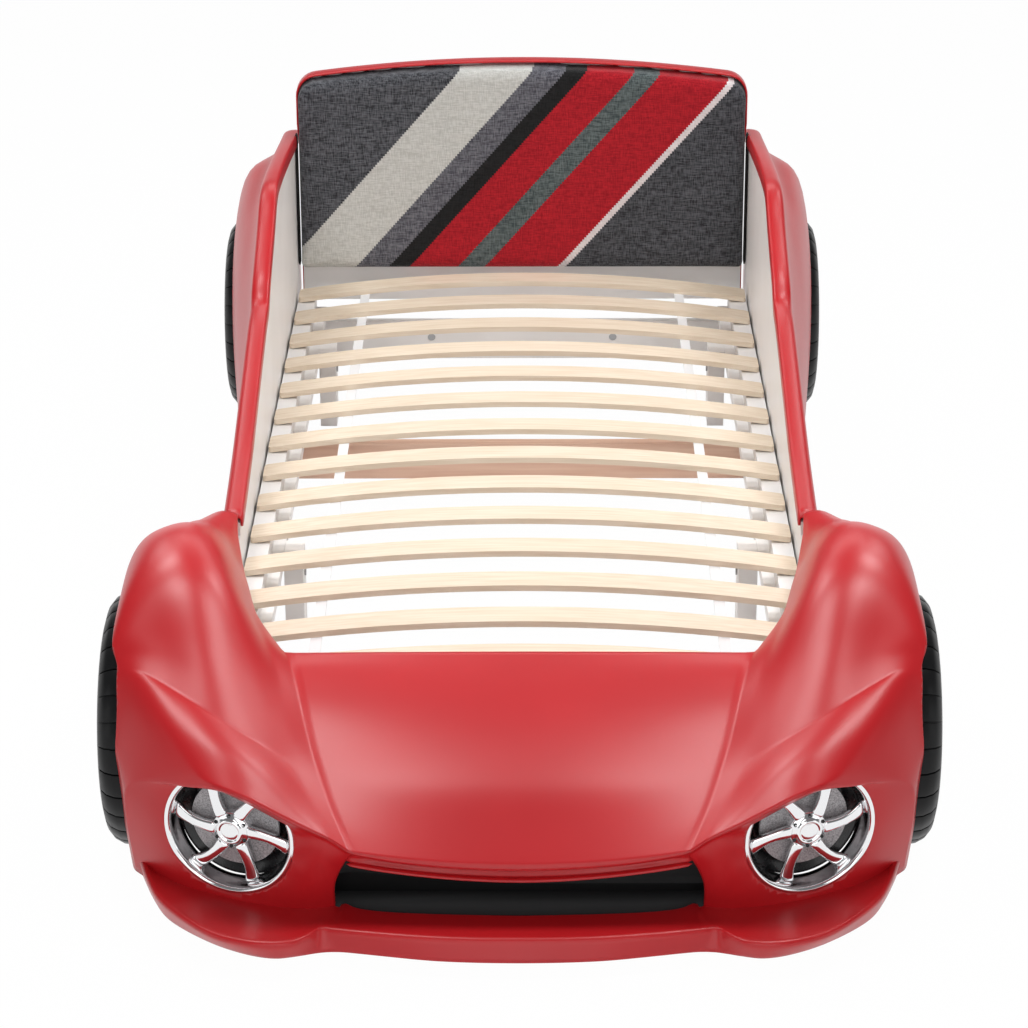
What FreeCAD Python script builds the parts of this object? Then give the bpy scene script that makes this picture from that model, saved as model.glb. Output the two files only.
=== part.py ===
import FreeCAD, Part
import math
import os

import Sketcher
from FreeCAD import Rotation, Vector

# Children's car bed: a slatted bed for a 90 x 190 cm mattress inside a moulded red car body.
# Frame of the part: X to the right of the car seen from its rear, +Y towards the headboard,
# +Z up, origin on the floor under the middle of the bed. All sizes are in millimetres.

doc = FreeCAD.newDocument("CarBed")
sheet = doc.addObject("Spreadsheet::Sheet", "Sizes")

SIZES = {
    # slatted base
    "slat_length": 900, "slat_width": 55, "slat_thickness": 10, "slat_pitch": 136,
    "slat_count": 14, "slat_camber": 35, "slat_corner": 7, "slat_seat_height": 190,
    "slat_side_gap": 5.5, "first_slat_setback": 70.7,
    "tape_width": 18, "tape_thickness": 1.2, "tape_offset": 315, "tape_overhang": 12,
    # boards of the inner frame
    "board_thickness": 18, "panel_bottom": 40, "board_gap": 0.3, "ledge_gap": 4,
    "ledge_width": 34, "ledge_height": 30, "ledge_step_width": 20, "ledge_step_height": 22,
    "foot_board_back": -800.5, "foot_board_height": 249.7,
    "head_board_bottom": 155,
    "stretcher_setback": 42.7, "stretcher_bottom": 48, "stretcher_height": 80,
    "stretcher_hole": 8, "stretcher_hole_height": 45, "stretcher_hole_offset": 185,
    "middle_rail_front": 418, "middle_rail_thickness": 26,
    "middle_rail_bottom": 70, "middle_rail_height": 67.7,
    "leg_width": 32, "leg_depth": 62, "rear_leg_front": 850, "front_leg_front": -142,
    "glide_radius": 12, "glide_height": 6, "glide_inset": 14,
    "leg_screw_radius": 5.5, "leg_screw_head": 3, "leg_screw_drop": 45,
    # moulded shells
    "shell_wall": 4, "shell_bottom": 20, "shell_joint": -270, "shell_gap": 0.3,
    "flange_bottom": 250, "rear_overhang": 240, "rail_lip": 24, "rail_cover": 12,
    "rail_width": 34, "rail_side_drop": 15,
    # wheels
    "wheel_radius": 187.5, "wheel_width": 88, "wheel_height": 189.5,
    "front_wheel_y": -812, "rear_wheel_y": 1000, "front_wheel_reach": 150.5,
    "rear_wheel_reach": 124.5, "arch_gap": 5, "tyre_shoulder": 24, "tyre_bead": 134,
    "tread_blocks": 36, "tread_slot": 3, "tread_depth": 3, "rim_radius": 133.7,
    "rim_lip": 12, "rim_depth": 62, "rim_web": 8, "hub_radius": 34,
    "spoke_count": 6, "spoke_root": 26, "spoke_tip": 34, "cap_radius": 25,
    "cap_thickness": 5,
    # headlamps made like small wheels
    "lamp_radius": 98.5, "lamp_x": 407.5, "lamp_y": -1112, "lamp_z": 160,
    "lamp_turn": 18, "lamp_nod": 2.8,
    "lamp_ring": 11, "lamp_depth": 36, "lamp_hole_gap": 0.3, "lamp_hole_reach": 62,
    "lamp_hole_back": 50, "lamp_hub": 23,
    "lamp_spoke_root": 15, "lamp_spoke_tip": 24, "lamp_spoke_thickness": 9,
    "lamp_disc_radius": 66, "lamp_disc_thickness": 4, "lamp_cap_radius": 13,
    "lamp_cap_thickness": 4, "lamp_bucket_wall": 3, "lamp_bucket_depth": 48,
    "lamp_bucket_radius": 89, "lamp_bucket_taper": 16,
    # grille
    "grille_half_width": 262, "grille_bottom": 56, "grille_top": 136, "grille_rise": 9,
    "grille_corner": 22, "grille_depth": 95, "liner_wall": 3,
    "blade_height": 115, "blade_thickness": 6, "blade_depth": 22,
    # front splitter
    "splitter_top": 54, "splitter_round": 10,
    # padded headboard
    "pad_side_gap": 2, "pad_bottom": 232, "pad_top_gap": 8, "pad_arch": 33,
    "pad_corner": 42, "pad_foot_corner": 12, "pad_thickness": 40, "pad_roll": 14,
    "pad_overhang": 4, "pad_crown": 9, "head_side_gap": 4, "head_rim": 4.5,
    "head_top": 660, "head_bottom": 158, "head_inset": 32, "head_rim_reach": 17,
    "head_corner": 45,
}

for row, (alias, value) in enumerate(SIZES.items(), 1):
    sheet.set(f"A{row}", alias)
    sheet.set(f"B{row}", str(value))
    sheet.setAlias(f"B{row}", alias)
doc.recompute()

SIDES = {"left": -1, "right": 1}
pieces = []

# Places that several pieces share, as formulas over the sheet.
PANEL_INNER = "(Sizes.slat_length / 2 + Sizes.slat_side_gap)"
BODY_BACK = "(Sizes.rear_wheel_y + Sizes.rear_overhang)"
HEAD_BACK = f"({BODY_BACK} - Sizes.head_inset)"
HEAD_BOARD_FRONT = f"({HEAD_BACK} - Sizes.board_thickness - Sizes.shell_wall - Sizes.shell_gap)"
STRETCHER_BACK = f"({HEAD_BOARD_FRONT} - Sizes.stretcher_setback)"
FIRST_SLAT_BACK = f"({HEAD_BOARD_FRONT} - Sizes.first_slat_setback)"
LEDGE_OUTER = f"({PANEL_INNER} - Sizes.ledge_gap)"
LEG_OUTER = f"({LEDGE_OUTER} - Sizes.board_gap - Sizes.ledge_width - Sizes.ledge_step_width)"


def size(alias):
    """One driving dimension, read from the sheet."""
    return float(sheet.get(alias))


def worked(formula):
    """What a formula over the sheet comes to."""
    return float(sheet.evalExpression(formula))


def keep(piece, label):
    """Name a finished sub-part and put it on the list of pieces that are written."""
    piece.Label = label
    pieces.append(piece)
    return piece


def bind(piece, **formulas):
    """Tie properties of a piece to the sheet. x, y and z are its place."""
    for name, formula in formulas.items():
        path = "Placement.Base." + name if name in "xyz" else name
        piece.setExpression(path, formula)
    return piece


def board(name, length, width, height, x, y, z):
    """A sawn board: Length runs along X, Width along Y and Height along Z."""
    box = doc.addObject("Part::Box", name)
    return bind(box, Length=length, Width=width, Height=height, x=x, y=y, z=z)


def shape_piece(label, shape):
    """A moulded or formed piece whose shape is worked out here from the sheet."""
    piece = doc.addObject("Part::Feature", label)
    piece.Shape = shape
    return keep(piece, label)


def base_plane(body, role):
    """The XY, XZ or YZ plane of a body's own origin."""
    for feature in body.Origin.OriginFeatures:
        if feature.Role == role:
            return feature
    raise ValueError(role)


def new_sketch(body, role, name):
    sketch = body.newObject("Sketcher::SketchObject", name)
    sketch.AttachmentSupport = [(base_plane(body, role), "")]
    sketch.MapMode = "FlatFace"
    return sketch


def round_edges(body, base, name, radius, wanted):
    """A fillet on the edges of the base feature that the wanted test picks."""
    doc.recompute()
    edges = [f"Edge{number}" for number, edge in enumerate(base.Shape.Edges, 1) if wanted(edge)]
    fillet = body.newObject("PartDesign::Fillet", name)
    fillet.Base = (base, edges)
    fillet.setExpression("Radius", radius)
    return fillet


# --- slatted base -----------------------------------------------------------------------


def slat(number):
    """A cambered beech slat with rounded ends, bent up in the middle."""
    label = f"slat_{number:02d}"
    body = doc.addObject("PartDesign::Body", label)
    sketch = new_sketch(body, "XZ_Plane", label + "_profile")
    half, camber, thick = size("slat_length") / 2, size("slat_camber"), size("slat_thickness")
    radius = (half * half + camber * camber) / (2 * camber)
    lower_end, upper_end = Vector(half, 0, 0), Vector(half, thick, 0)
    lower = Part.Arc(Vector(-half, 0, 0), Vector(0, camber, 0), lower_end)
    upper = Part.Arc(Vector(-half, thick, 0), Vector(0, camber + thick, 0), upper_end)
    sketch.addGeometry([lower, upper], False)
    for side in (-1, 1):
        foot = Vector(side * half, 0, 0)
        sketch.addGeometry(Part.LineSegment(foot, foot + Vector(0, thick, 0)), False)
    # arcs run anticlockwise, so their start is on the right
    links = [(0, 2, 2, 1), (1, 2, 2, 2), (0, 1, 3, 1), (1, 1, 3, 2)]
    for link in links:
        sketch.addConstraint(Sketcher.Constraint("Coincident", *link))
    sketch.addConstraint(Sketcher.Constraint("PointOnObject", 0, 1, -1))
    sketch.addConstraint(Sketcher.Constraint("PointOnObject", 0, 2, -1))
    sketch.addConstraint(Sketcher.Constraint("PointOnObject", 0, 3, -2))
    sketch.addConstraint(Sketcher.Constraint("Vertical", 2))
    sketch.addConstraint(Sketcher.Constraint("Vertical", 3))
    sketch.addConstraint(Sketcher.Constraint("Equal", 2, 3))
    sizes = (
        ("DistanceX", (0, 2, 0, 1), 2 * half, "Sizes.slat_length"),
        ("DistanceY", (3, 1, 3, 2), thick, "Sizes.slat_thickness"),
        ("Radius", (0,), radius,
         "(Sizes.slat_length^2 / 4 + Sizes.slat_camber^2) / (2 * Sizes.slat_camber)"),
        ("Radius", (1,), radius,
         "(Sizes.slat_length^2 / 4 + Sizes.slat_camber^2) / (2 * Sizes.slat_camber)"),
    )
    for kind, places, value, formula in sizes:
        row = sketch.addConstraint(Sketcher.Constraint(kind, *places, value))
        sketch.setExpression(f"Constraints[{row}]", formula)
    pad = body.newObject("PartDesign::Pad", label + "_width")
    pad.Profile = sketch
    pad.setExpression("Length", "Sizes.slat_width")
    upright = lambda edge: edge.BoundBox.XLength < 0.01 and edge.BoundBox.YLength < 0.01
    round_edges(body, pad, label + "_ends", "Sizes.slat_corner", upright)
    place = f"{FIRST_SLAT_BACK} - {number - 1} * Sizes.slat_pitch"
    bind(body, y=place, z="Sizes.slat_seat_height + Sizes.board_gap")
    return keep(body, label)


def make_tapes():
    """Two woven tapes under the slats keep their spacing; each follows the slats' slope."""
    half, camber = size("slat_length") / 2, size("slat_camber")
    radius = (half * half + camber * camber) / (2 * camber)
    offset = size("tape_offset")
    lean = math.asin(offset / radius)
    underside = size("slat_seat_height") + size("board_gap") + camber - radius
    underside += math.sqrt(radius * radius - offset * offset)
    length = (size("slat_count") - 1) * size("slat_pitch") + size("slat_width")
    length += 2 * size("tape_overhang")
    back = worked(FIRST_SLAT_BACK) + size("tape_overhang")
    drop = size("tape_thickness") + size("board_gap")
    for side, sign in SIDES.items():
        strip = Part.makeBox(size("tape_width"), length, size("tape_thickness"),
                             Vector(-size("tape_width") / 2, -length, -drop))
        strip.rotate(Vector(0, 0, 0), Vector(0, 1, 0), sign * math.degrees(lean))
        strip.translate(Vector(sign * offset, back, underside))
        shape_piece("tape_" + side, strip)


def make_ledges():
    """Stepped battens along both panels; the slat ends lie on them."""
    for side, sign in SIDES.items():
        length = f"{STRETCHER_BACK} - Sizes.board_thickness - Sizes.foot_board_back"
        start = "Sizes.foot_board_back + Sizes.board_gap"
        upper_x = f"{LEDGE_OUTER} - Sizes.ledge_width" if sign > 0 else f"-{LEDGE_OUTER}"
        step_x = (f"{LEDGE_OUTER} - Sizes.ledge_width - Sizes.ledge_step_width" if sign > 0
                  else f"-{LEDGE_OUTER}")
        upper = board(f"ledge_{side}_top", "Sizes.ledge_width", length + " - 2 * Sizes.board_gap",
                      "Sizes.ledge_height", upper_x, start,
                      "Sizes.slat_seat_height - Sizes.ledge_height")
        step = board(f"ledge_{side}_step", "Sizes.ledge_width + Sizes.ledge_step_width",
                     length + " - 2 * Sizes.board_gap", "Sizes.ledge_step_height", step_x, start,
                     "Sizes.slat_seat_height - Sizes.ledge_height - Sizes.ledge_step_height")
        both = doc.addObject("Part::MultiFuse", "ledge_" + side)
        both.Shapes = [upper, step]
        both.Refine = True
        keep(both, "ledge_" + side)


# --- boards of the inner frame ------------------------------------------------------------

# Half cross-sections of a side, ahead of the rear wheel arch by their place along the bed and
# over it by their place from the wheel's middle. Each row: the place, the height of the rail's
# top, then (distance out from the panel, Z) of the valley beside the rail, the crown of the
# rear wing, its widest line and its foot. Ahead of the wing these four lie on a plain side.
SIDE_START = (284, (31, 250), (33, 225), (34, 150), (32, 20))
SIDE_AHEAD = [
    (-60, 322, (31, 280), (33, 235), (35, 130), (33, 20)),
    (150, 378, (31, 330), (34, 250), (37, 140), (34, 20)),
    (330, 427, (31, 375), (35, 280), (39, 150), (36, 20)),
]
SIDE_OVER_WHEEL = [
    (-600, 450, (32, 400), (37, 300), (43, 165), (39, 20)),
    (-450, 518, (33, 462), (44, 355), (58, 190), (53, 20)),
    (-360, 560, (35, 490), (54, 390), (72, 205), (67, 20)),
    (-270, 560, (37, 500), (66, 420), (87, 232), (82, 20)),
    (-150, 549, (40, 497), (78, 442), (103, 255), (97, 20)),
    (0, 531, (42, 485), (86, 445), (116, 262), (110, 20)),
    (120, 515, (43, 472), (88, 435), (121, 262), (115, 20)),
]
SIDE_END = (500, (42, 452), (80, 405), (105, 235), (100, 20))


def side_sections():
    """Every cross-section of a side, with its place along the bed."""
    wheel = size("rear_wheel_y")
    return [(size("shell_joint") + size("shell_gap"), *SIDE_START), *SIDE_AHEAD,
            *[(wheel + y, *row) for y, *row in SIDE_OVER_WHEEL], (worked(BODY_BACK), *SIDE_END)]


def make_side_panels():
    """White boards along both sides; the moulded rail caps their upper edge."""
    front, back = size("foot_board_back") - size("board_thickness"), worked(BODY_BACK)
    back -= size("shell_wall") + size("board_gap")
    bottom, low = size("panel_bottom"), size("flange_bottom") - size("board_gap")
    cover = size("rail_cover")
    line = [(y, z - cover) for y, z, *_ in side_sections()]
    line[-1] = (back, line[-1][1])
    inner = worked(PANEL_INNER)
    for side, sign in SIDES.items():
        x = inner if sign > 0 else -inner - size("board_thickness")
        at = lambda y, z: Vector(x, y, z)
        top = Part.BSplineCurve()
        top.interpolate([at(y, z) for y, z in line])
        start, end = at(*line[0]), at(*line[-1])
        corners = [end, at(back, bottom), at(front, bottom), at(front, low),
                   at(line[0][0], low), start]
        edges = [Part.LineSegment(a, b).toShape() for a, b in zip(corners, corners[1:])]
        face = Part.Face(Part.Wire([top.toShape()] + edges))
        shape_piece("side_panel_" + side, face.extrude(Vector(size("board_thickness"), 0, 0)))


def make_cross_boards():
    """Boards across the bed: foot board, head stretcher and middle rail."""
    span = f"2 * ({PANEL_INNER} - Sizes.board_gap)"
    left = f"-({PANEL_INNER} - Sizes.board_gap)"
    foot = board("foot_board", span, "Sizes.board_thickness",
                 "Sizes.foot_board_height - Sizes.glide_height", left,
                 "Sizes.foot_board_back - Sizes.board_thickness", "Sizes.glide_height")
    keep(foot, "foot_board")

    plain = board("stretcher_blank", span, "Sizes.board_thickness", "Sizes.stretcher_height",
                  left, f"{STRETCHER_BACK} - Sizes.board_thickness", "Sizes.stretcher_bottom")
    holes = []
    for sign in (-1, 1):
        hole = doc.addObject("Part::Cylinder", "stretcher_hole")
        hole.Placement.Rotation = Rotation(Vector(1, 0, 0), 90)
        bind(hole, Radius="Sizes.stretcher_hole", Height="Sizes.board_thickness * 0.7",
             x=f"{sign} * Sizes.stretcher_hole_offset",
             y=f"{STRETCHER_BACK} - Sizes.board_thickness * 0.3",
             z="Sizes.stretcher_bottom + Sizes.stretcher_hole_height")
        holes.append(hole)
    drilled = plain
    for number, hole in enumerate(holes, 1):
        cut = doc.addObject("Part::Cut", f"stretcher_cut_{number}")
        cut.Base, cut.Tool = drilled, hole
        drilled = cut
    keep(drilled, "head_stretcher")

    rail = board("middle_rail", span, "Sizes.middle_rail_thickness", "Sizes.middle_rail_height",
                 left, "Sizes.middle_rail_front", "Sizes.middle_rail_bottom")
    keep(rail, "middle_rail")


def make_legs():
    """Four posts of board inside the ledges; they carry the slatted base."""
    height = "Sizes.slat_seat_height - Sizes.ledge_height - Sizes.glide_height"
    for end in ("rear", "front"):
        for side, sign in SIDES.items():
            x = f"{LEG_OUTER} - Sizes.leg_width" if sign > 0 else f"-{LEG_OUTER}"
            leg = board(f"leg_{end}_{side}", "Sizes.leg_width", "Sizes.leg_depth", height,
                        x, f"Sizes.{end}_leg_front", "Sizes.glide_height")
            keep(leg, f"leg_{end}_{side}")


def make_small_hardware():
    """Floor glides, the round covers of the leg screws and the cam locks of the stretcher."""
    inner = worked(LEG_OUTER)
    leg_x = inner - size("leg_width") / 2
    radius, height = size("glide_radius"), size("glide_height")
    feet = []
    heads = []
    head_radius, head_height = size("leg_screw_radius"), size("leg_screw_head")
    head_z = size("slat_seat_height") - size("ledge_height") - size("leg_screw_drop")
    for sign in (-1, 1):
        for front in (size("rear_leg_front"), size("front_leg_front")):
            middle = front + size("leg_depth") / 2
            feet.append(Part.makeCylinder(radius, height, Vector(sign * leg_x, middle, 0)))
            face = Vector(sign * (inner - size("leg_width")), middle, head_z)
            heads.append(Part.makeCylinder(head_radius, head_height, face,
                                           Vector(-sign, 0, 0)))
        foot_middle = size("foot_board_back") - size("board_thickness") / 2
        foot_x = worked(PANEL_INNER) - radius - 2 * size("glide_inset")
        place = Vector(sign * foot_x, foot_middle, 0)
        feet.append(Part.makeCylinder(size("board_thickness") / 2 - 1, height, place))
    shape_piece("floor_glides", Part.makeCompound(feet))
    shape_piece("leg_screws", Part.makeCompound(heads))
    locks = []
    depth = size("board_thickness") * 0.5
    for sign in (-1, 1):
        back = Vector(sign * size("stretcher_hole_offset"),
                      worked(STRETCHER_BACK) - size("board_thickness") * 0.3,
                      size("stretcher_bottom") + size("stretcher_hole_height"))
        radius = size("stretcher_hole") - size("board_gap")
        locks.append(Part.makeCylinder(radius, depth, back, Vector(0, -1, 0)))
    shape_piece("cam_locks", Part.makeCompound(locks))


# --- moulded front shell ------------------------------------------------------------------

# Half cross-sections of the front body, from the nose back to the joint with the side shells.
# Each row: place along the bed, then (X, Z) of the hood's middle, the fold between hood and
# wing, the inner ridge of the wing, its crown, its shoulder, its widest line and its foot.
FRONT_SECTIONS = [
    (-1215, 108, (210, 100), (232, 108), (380, 120), (480, 105), (560, 60), (560, 20)),
    (-1150, 170, (238, 160), (262, 172), (395, 190), (500, 170), (575, 110), (572, 20)),
    (-1070, 224, (276, 210), (302, 226), (420, 262), (528, 246), (590, 170), (586, 20)),
    (-980, 263, (303, 251), (335, 272), (448, 330), (552, 318), (598, 215), (594, 20)),
    (-890, 290, (325, 283), (362, 312), (470, 398), (566, 374), (604, 240), (600, 20)),
    (-800, 306, (340, 304), (382, 342), (482, 438), (572, 404), (606, 255), (602, 20)),
    (-690, 300, (352, 300), (398, 330), (492, 440), (572, 410), (602, 262), (598, 20)),
    (-560, 285, (372, 285), (418, 304), (500, 398), (564, 372), (590, 250), (586, 20)),
    (-420, 272, (392, 270), (441, 296), (502, 342), (548, 322), (566, 225), (562, 20)),
    (-270, 262, (412, 264), (458, 284), (484, 292), (508, 280), (515, 205), (512, 20)),
]

# Plan outlines of the nose at four heights, as half outlines from the middle outwards. The
# lower wall is undercut, the brow leads, and the wall above the brow leans back.
NOSE_HEIGHTS = (20, 190, 290, 480)
NOSE_OUTLINES = [
    ((0, -1166), (225, -1136), (330, -1106), (430, -1064), (505, -1034), (556, -1022)),
    ((0, -1188), (225, -1164), (330, -1136), (430, -1088), (505, -1050), (556, -1020)),
    ((0, -1172), (225, -1136), (330, -1062), (430, -1008), (505, -992), (552, -986)),
    ((0, -1120), (225, -1060), (330, -970), (430, -915), (505, -895), (552, -890)),
]
NOSE_SIDE = (660, -800)
NOSE_BACK = -100
HOLLOW_DROP = 40
# The outlines above are drawn for a bed whose side panels stand this far from its middle.
DRAWN_INNER = 455.5


def spread(x):
    """Moves a drawn X with the side panels; near the middle of the bed less and less."""
    share = max(-1, min(1, x / 300))
    return x + (worked(PANEL_INNER) - DRAWN_INNER) * share


def inset_line(points, distance):
    """Move an open line of (x, z) points to its right-hand side by a distance."""
    moved = []
    for index, (x, z) in enumerate(points):
        x0, z0 = points[max(index - 1, 0)]
        x1, z1 = points[min(index + 1, len(points) - 1)]
        run = math.hypot(x1 - x0, z1 - z0)
        moved.append((x + distance * (z1 - z0) / run, z - distance * (x1 - x0) / run))
    return moved


def spline_edge(points):
    curve = Part.BSplineCurve()
    curve.interpolate(points)
    return curve.toShape()


def form_loft(wires):
    """A smooth solid through closed sections; cubic, so that it doesn't swing between them."""
    return Part.makeLoft(wires, True, False, False, 3)


def front_wire(section, inset, drop):
    """One closed cross-section of the front body, moved inwards by the inset."""
    y, middle, *half = section
    outline = [(-half[0][0], half[0][1]), (0, middle)] + list(half)
    moved = inset_line(outline, inset)[1:] if inset else outline[1:]
    moved[0] = (0, middle - inset)
    at = lambda x, z: Vector(spread(x), y, z)
    hood = [at(-moved[1][0], moved[1][1]), at(0, moved[0][1]), at(*moved[1])]
    wing = moved[2:]
    # one more point halfway down keeps the side straight below its widest line
    side, foot = wing[-2], (wing[-1][0], wing[-1][1] - drop)
    wing[-1:] = [((side[0] + foot[0]) / 2, (side[1] + foot[1]) / 2), foot]
    edges = [spline_edge(hood)]
    edges.append(Part.LineSegment(at(*moved[1]), at(*wing[0])).toShape())
    edges.append(spline_edge([at(*point) for point in wing]))
    edges.append(Part.LineSegment(at(*foot), at(-foot[0], foot[1])).toShape())
    edges.append(spline_edge([at(-x, z) for x, z in reversed(wing)]))
    edges.append(Part.LineSegment(at(-wing[0][0], wing[0][1]),
                                  at(-moved[1][0], moved[1][1])).toShape())
    return Part.Wire(edges)


def front_form(inset):
    """The filled form of hood and wings, before the nose, lamps and arches are cut."""
    sections = list(FRONT_SECTIONS)
    if inset:
        # the hollow runs out through the open rear end and the open foot
        sections[-1] = (sections[-1][0] + 3 * inset, *sections[-1][1:])
    drop = HOLLOW_DROP if inset else 0
    return form_loft([front_wire(section, inset, drop) for section in sections])


def nose_block(inset):
    """Filled block under the plan outlines of the nose, moved inwards by the inset."""
    heights, outlines = list(NOSE_HEIGHTS), list(NOSE_OUTLINES)
    if inset:
        # the hollow runs on below the foot of the wall, along the same slope
        depth = 1.5 * HOLLOW_DROP
        heights[0] -= depth
        share = depth / (NOSE_HEIGHTS[1] - NOSE_HEIGHTS[0])
        outlines[0] = [(x, low + (low - high) * share)
                       for (x, low), (x, high) in zip(NOSE_OUTLINES[0], NOSE_OUTLINES[1])]
    wires = []
    for z, outline in zip(heights, outlines):
        half = [Vector(spread(x), y + inset, z) for x, y in outline]
        front = [Vector(-point.x, point.y, z) for point in reversed(half)] + half[1:]
        side_x, side_y = spread(NOSE_SIDE[0]), NOSE_SIDE[1] + inset
        corners = [front[-1], Vector(side_x, side_y, z), Vector(side_x, NOSE_BACK, z),
                   Vector(-side_x, NOSE_BACK, z), Vector(-side_x, side_y, z), front[0]]
        edges = [spline_edge(front)]
        edges += [Part.LineSegment(a, b).toShape() for a, b in zip(corners, corners[1:])]
        wires.append(Part.Wire(edges))
    return Part.makeLoft(wires, True, True)


def bed_opening(inset, low, high):
    """Plan outline of the bed opening between the wings, as an upright block."""
    wing = [(459 - inset, -240), (459 - inset, -300), (447 - inset, -390), (431 - inset, -500),
            (414 - inset, -590), (397 - inset, -680), (382 - inset, -740),
            (361 - inset, -785 + inset), (334 - inset, -808 + inset)]
    right = [Vector(spread(x), y, low) for x, y in wing]
    left = [Vector(-spread(x), y, low) for x, y in wing]
    edge_y = -800 + inset
    hood = Part.Arc(right[-1], Vector(0, edge_y, low), left[-1]).toShape()
    edges = [Part.LineSegment(left[0], right[0]).toShape(),
             Part.LineSegment(right[0], right[1]).toShape(), spline_edge(right[1:]), hood,
             spline_edge(left[1:]), Part.LineSegment(left[1], left[0]).toShape()]
    face = Part.Face(Part.Wire(Part.__sortEdges__(edges)))
    return face.extrude(Vector(0, 0, high - low))


def wheel_space(sign, centre_y, radius, inner_x):
    """The round space in a wing that takes a wheel."""
    centre = Vector(sign * inner_x, centre_y, size("wheel_height"))
    return Part.makeCylinder(radius, 200, centre, Vector(sign, 0, 0))


def arch_radius():
    return size("wheel_radius") + size("arch_gap")


def wheel_face(end):
    """X of the outer face of the front or rear wheels."""
    return worked(PANEL_INNER) + size(end + "_wheel_reach")


def arch_floor(end):
    """X of the inner wall of a wheel arch, behind its wheel."""
    return wheel_face(end) - size("wheel_width") - size("shell_gap")


def lamp_axis(sign):
    """Outward direction of a headlamp: forwards, outwards and a little down."""
    turn, nod = math.radians(size("lamp_turn")), math.radians(size("lamp_nod"))
    level = math.cos(nod)
    return Vector(sign * level * math.sin(turn), -level * math.cos(turn), -math.sin(nod))


def lamp_centre(sign):
    return Vector(sign * spread(size("lamp_x")), size("lamp_y"), size("lamp_z"))


def lamp_hole(sign):
    radius = size("lamp_radius") + size("lamp_hole_gap")
    axis = lamp_axis(sign)
    start = lamp_centre(sign) - axis * size("lamp_hole_back")
    return Part.makeCylinder(radius, size("lamp_hole_reach"), start, axis)


def grille_profile(grow, y, depth):
    """The mouth of the grille: flat below, arched above, with rounded ends."""
    half, low = size("grille_half_width") + grow, size("grille_bottom") - grow
    top, rise = size("grille_top") + grow, size("grille_rise")
    corner = size("grille_corner") + grow
    at = lambda x, z: Vector(x, y, z)
    shoulder = half - corner
    ends = []
    for sign in (1, -1):
        low_corner, high_corner = at(sign * (half - 4), low), at(sign * shoulder, top + rise)
        ends.append((low_corner, at(sign * half, low + corner), high_corner))
    right = Part.Arc(*ends[0]).toShape()
    left = Part.Arc(*ends[1]).toShape()
    arch = Part.Arc(ends[0][2], at(0, top), ends[1][2]).toShape()
    sill = Part.LineSegment(ends[1][0], ends[0][0]).toShape()
    face = Part.Face(Part.Wire([sill, right, arch, left]))
    return face.extrude(Vector(0, depth, 0))


def splitter():
    """The lip along the bottom of the front, with a lobe under each headlamp."""
    low, top = size("shell_bottom"), size("splitter_top")
    half = [(0, -1228), (120, -1224), (225, -1213), (262, -1222), (318, -1240), (390, -1233),
            (452, -1200), (503, -1140), (530, -1080), (551, -1010), (566, -960)]
    front = [Vector(-spread(x), y, low) for x, y in reversed(half)]
    front += [Vector(spread(x), y, low) for x, y in half[1:]]
    inner_y = -1030
    side_x, corner_x = spread(530), spread(440)
    corners = [front[-1], Vector(side_x, -960, low), Vector(corner_x, inner_y, low),
               Vector(-corner_x, inner_y, low), Vector(-side_x, -960, low), front[0]]
    edges = [spline_edge(front)]
    edges += [Part.LineSegment(a, b).toShape() for a, b in zip(corners, corners[1:])]
    lip = Part.Face(Part.Wire(edges)).extrude(Vector(0, 0, top - low))
    rims = [edge for edge in lip.Edges
            if edge.BoundBox.ZMin > top - 1 and edge.BoundBox.YMin < inner_y - 100
            and edge.BoundBox.XLength > 2 * 500]
    return lip.makeFillet(size("splitter_round"), rims)


def make_front_shell():
    """Hood, wings, nose and splitter in one moulding, open below and around the mattress."""
    wall = size("shell_wall")
    outer = front_form(0).common(nose_block(0))
    inner = front_form(wall).common(nose_block(wall))
    opening = bed_opening(0, -50, 700)
    flange_room = bed_opening(-wall, size("flange_bottom"), 700)
    arch_x = arch_floor("front")
    inner = inner.cut(flange_room)
    for sign in SIDES.values():
        outer = outer.cut(wheel_space(sign, size("front_wheel_y"), arch_radius(), arch_x))
        inner = inner.cut(wheel_space(sign, size("front_wheel_y"), arch_radius() + wall,
                                      arch_x - wall))
    shell = outer.cut(inner).cut(opening)
    shell = shell.cut(grille_profile(0, -1300, 200))
    for sign in SIDES.values():
        shell = shell.cut(lamp_hole(sign))
    lip = splitter()
    cavity = inner.copy()
    lip = lip.cut(cavity)
    for sign in SIDES.values():
        lip = lip.cut(wheel_space(sign, size("front_wheel_y"), arch_radius(), arch_x))
    shell = shell.fuse(lip).removeSplitter()
    return shape_piece("front_shell", shell)


def make_grille():
    """Black pocket behind the mouth and the thin blade that crosses it."""
    wall, gap = size("liner_wall"), size("shell_gap")
    room = nose_block(size("shell_wall") + gap)
    front_y = -1200
    depth = size("grille_depth") + 30
    pocket = grille_profile(wall + gap, front_y, depth)
    hollow = grille_profile(gap, front_y - 1, depth + 1 - wall)
    shape_piece("grille_liner", pocket.cut(hollow).common(room))
    low = size("blade_height") - size("blade_thickness") / 2
    slab = Part.makeBox(800, 300, size("blade_thickness"), Vector(-400, -1250, low))
    front = nose_block(size("shell_wall") + 14)
    behind = nose_block(size("shell_wall") + 14 + size("blade_depth"))
    blade = slab.common(front).cut(behind).common(grille_profile(-gap, -1250, 300))
    shape_piece("grille_blade", blade)


# --- headlamps ----------------------------------------------------------------------------


def lamp_place(sign):
    """Turns a lamp made along +Z so that it looks out along its own axis."""
    axis = lamp_axis(sign)
    across = Vector(0, 0, 1).cross(axis).normalize()
    return FreeCAD.Placement(lamp_centre(sign), Rotation(across, axis.cross(across), axis))


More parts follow.
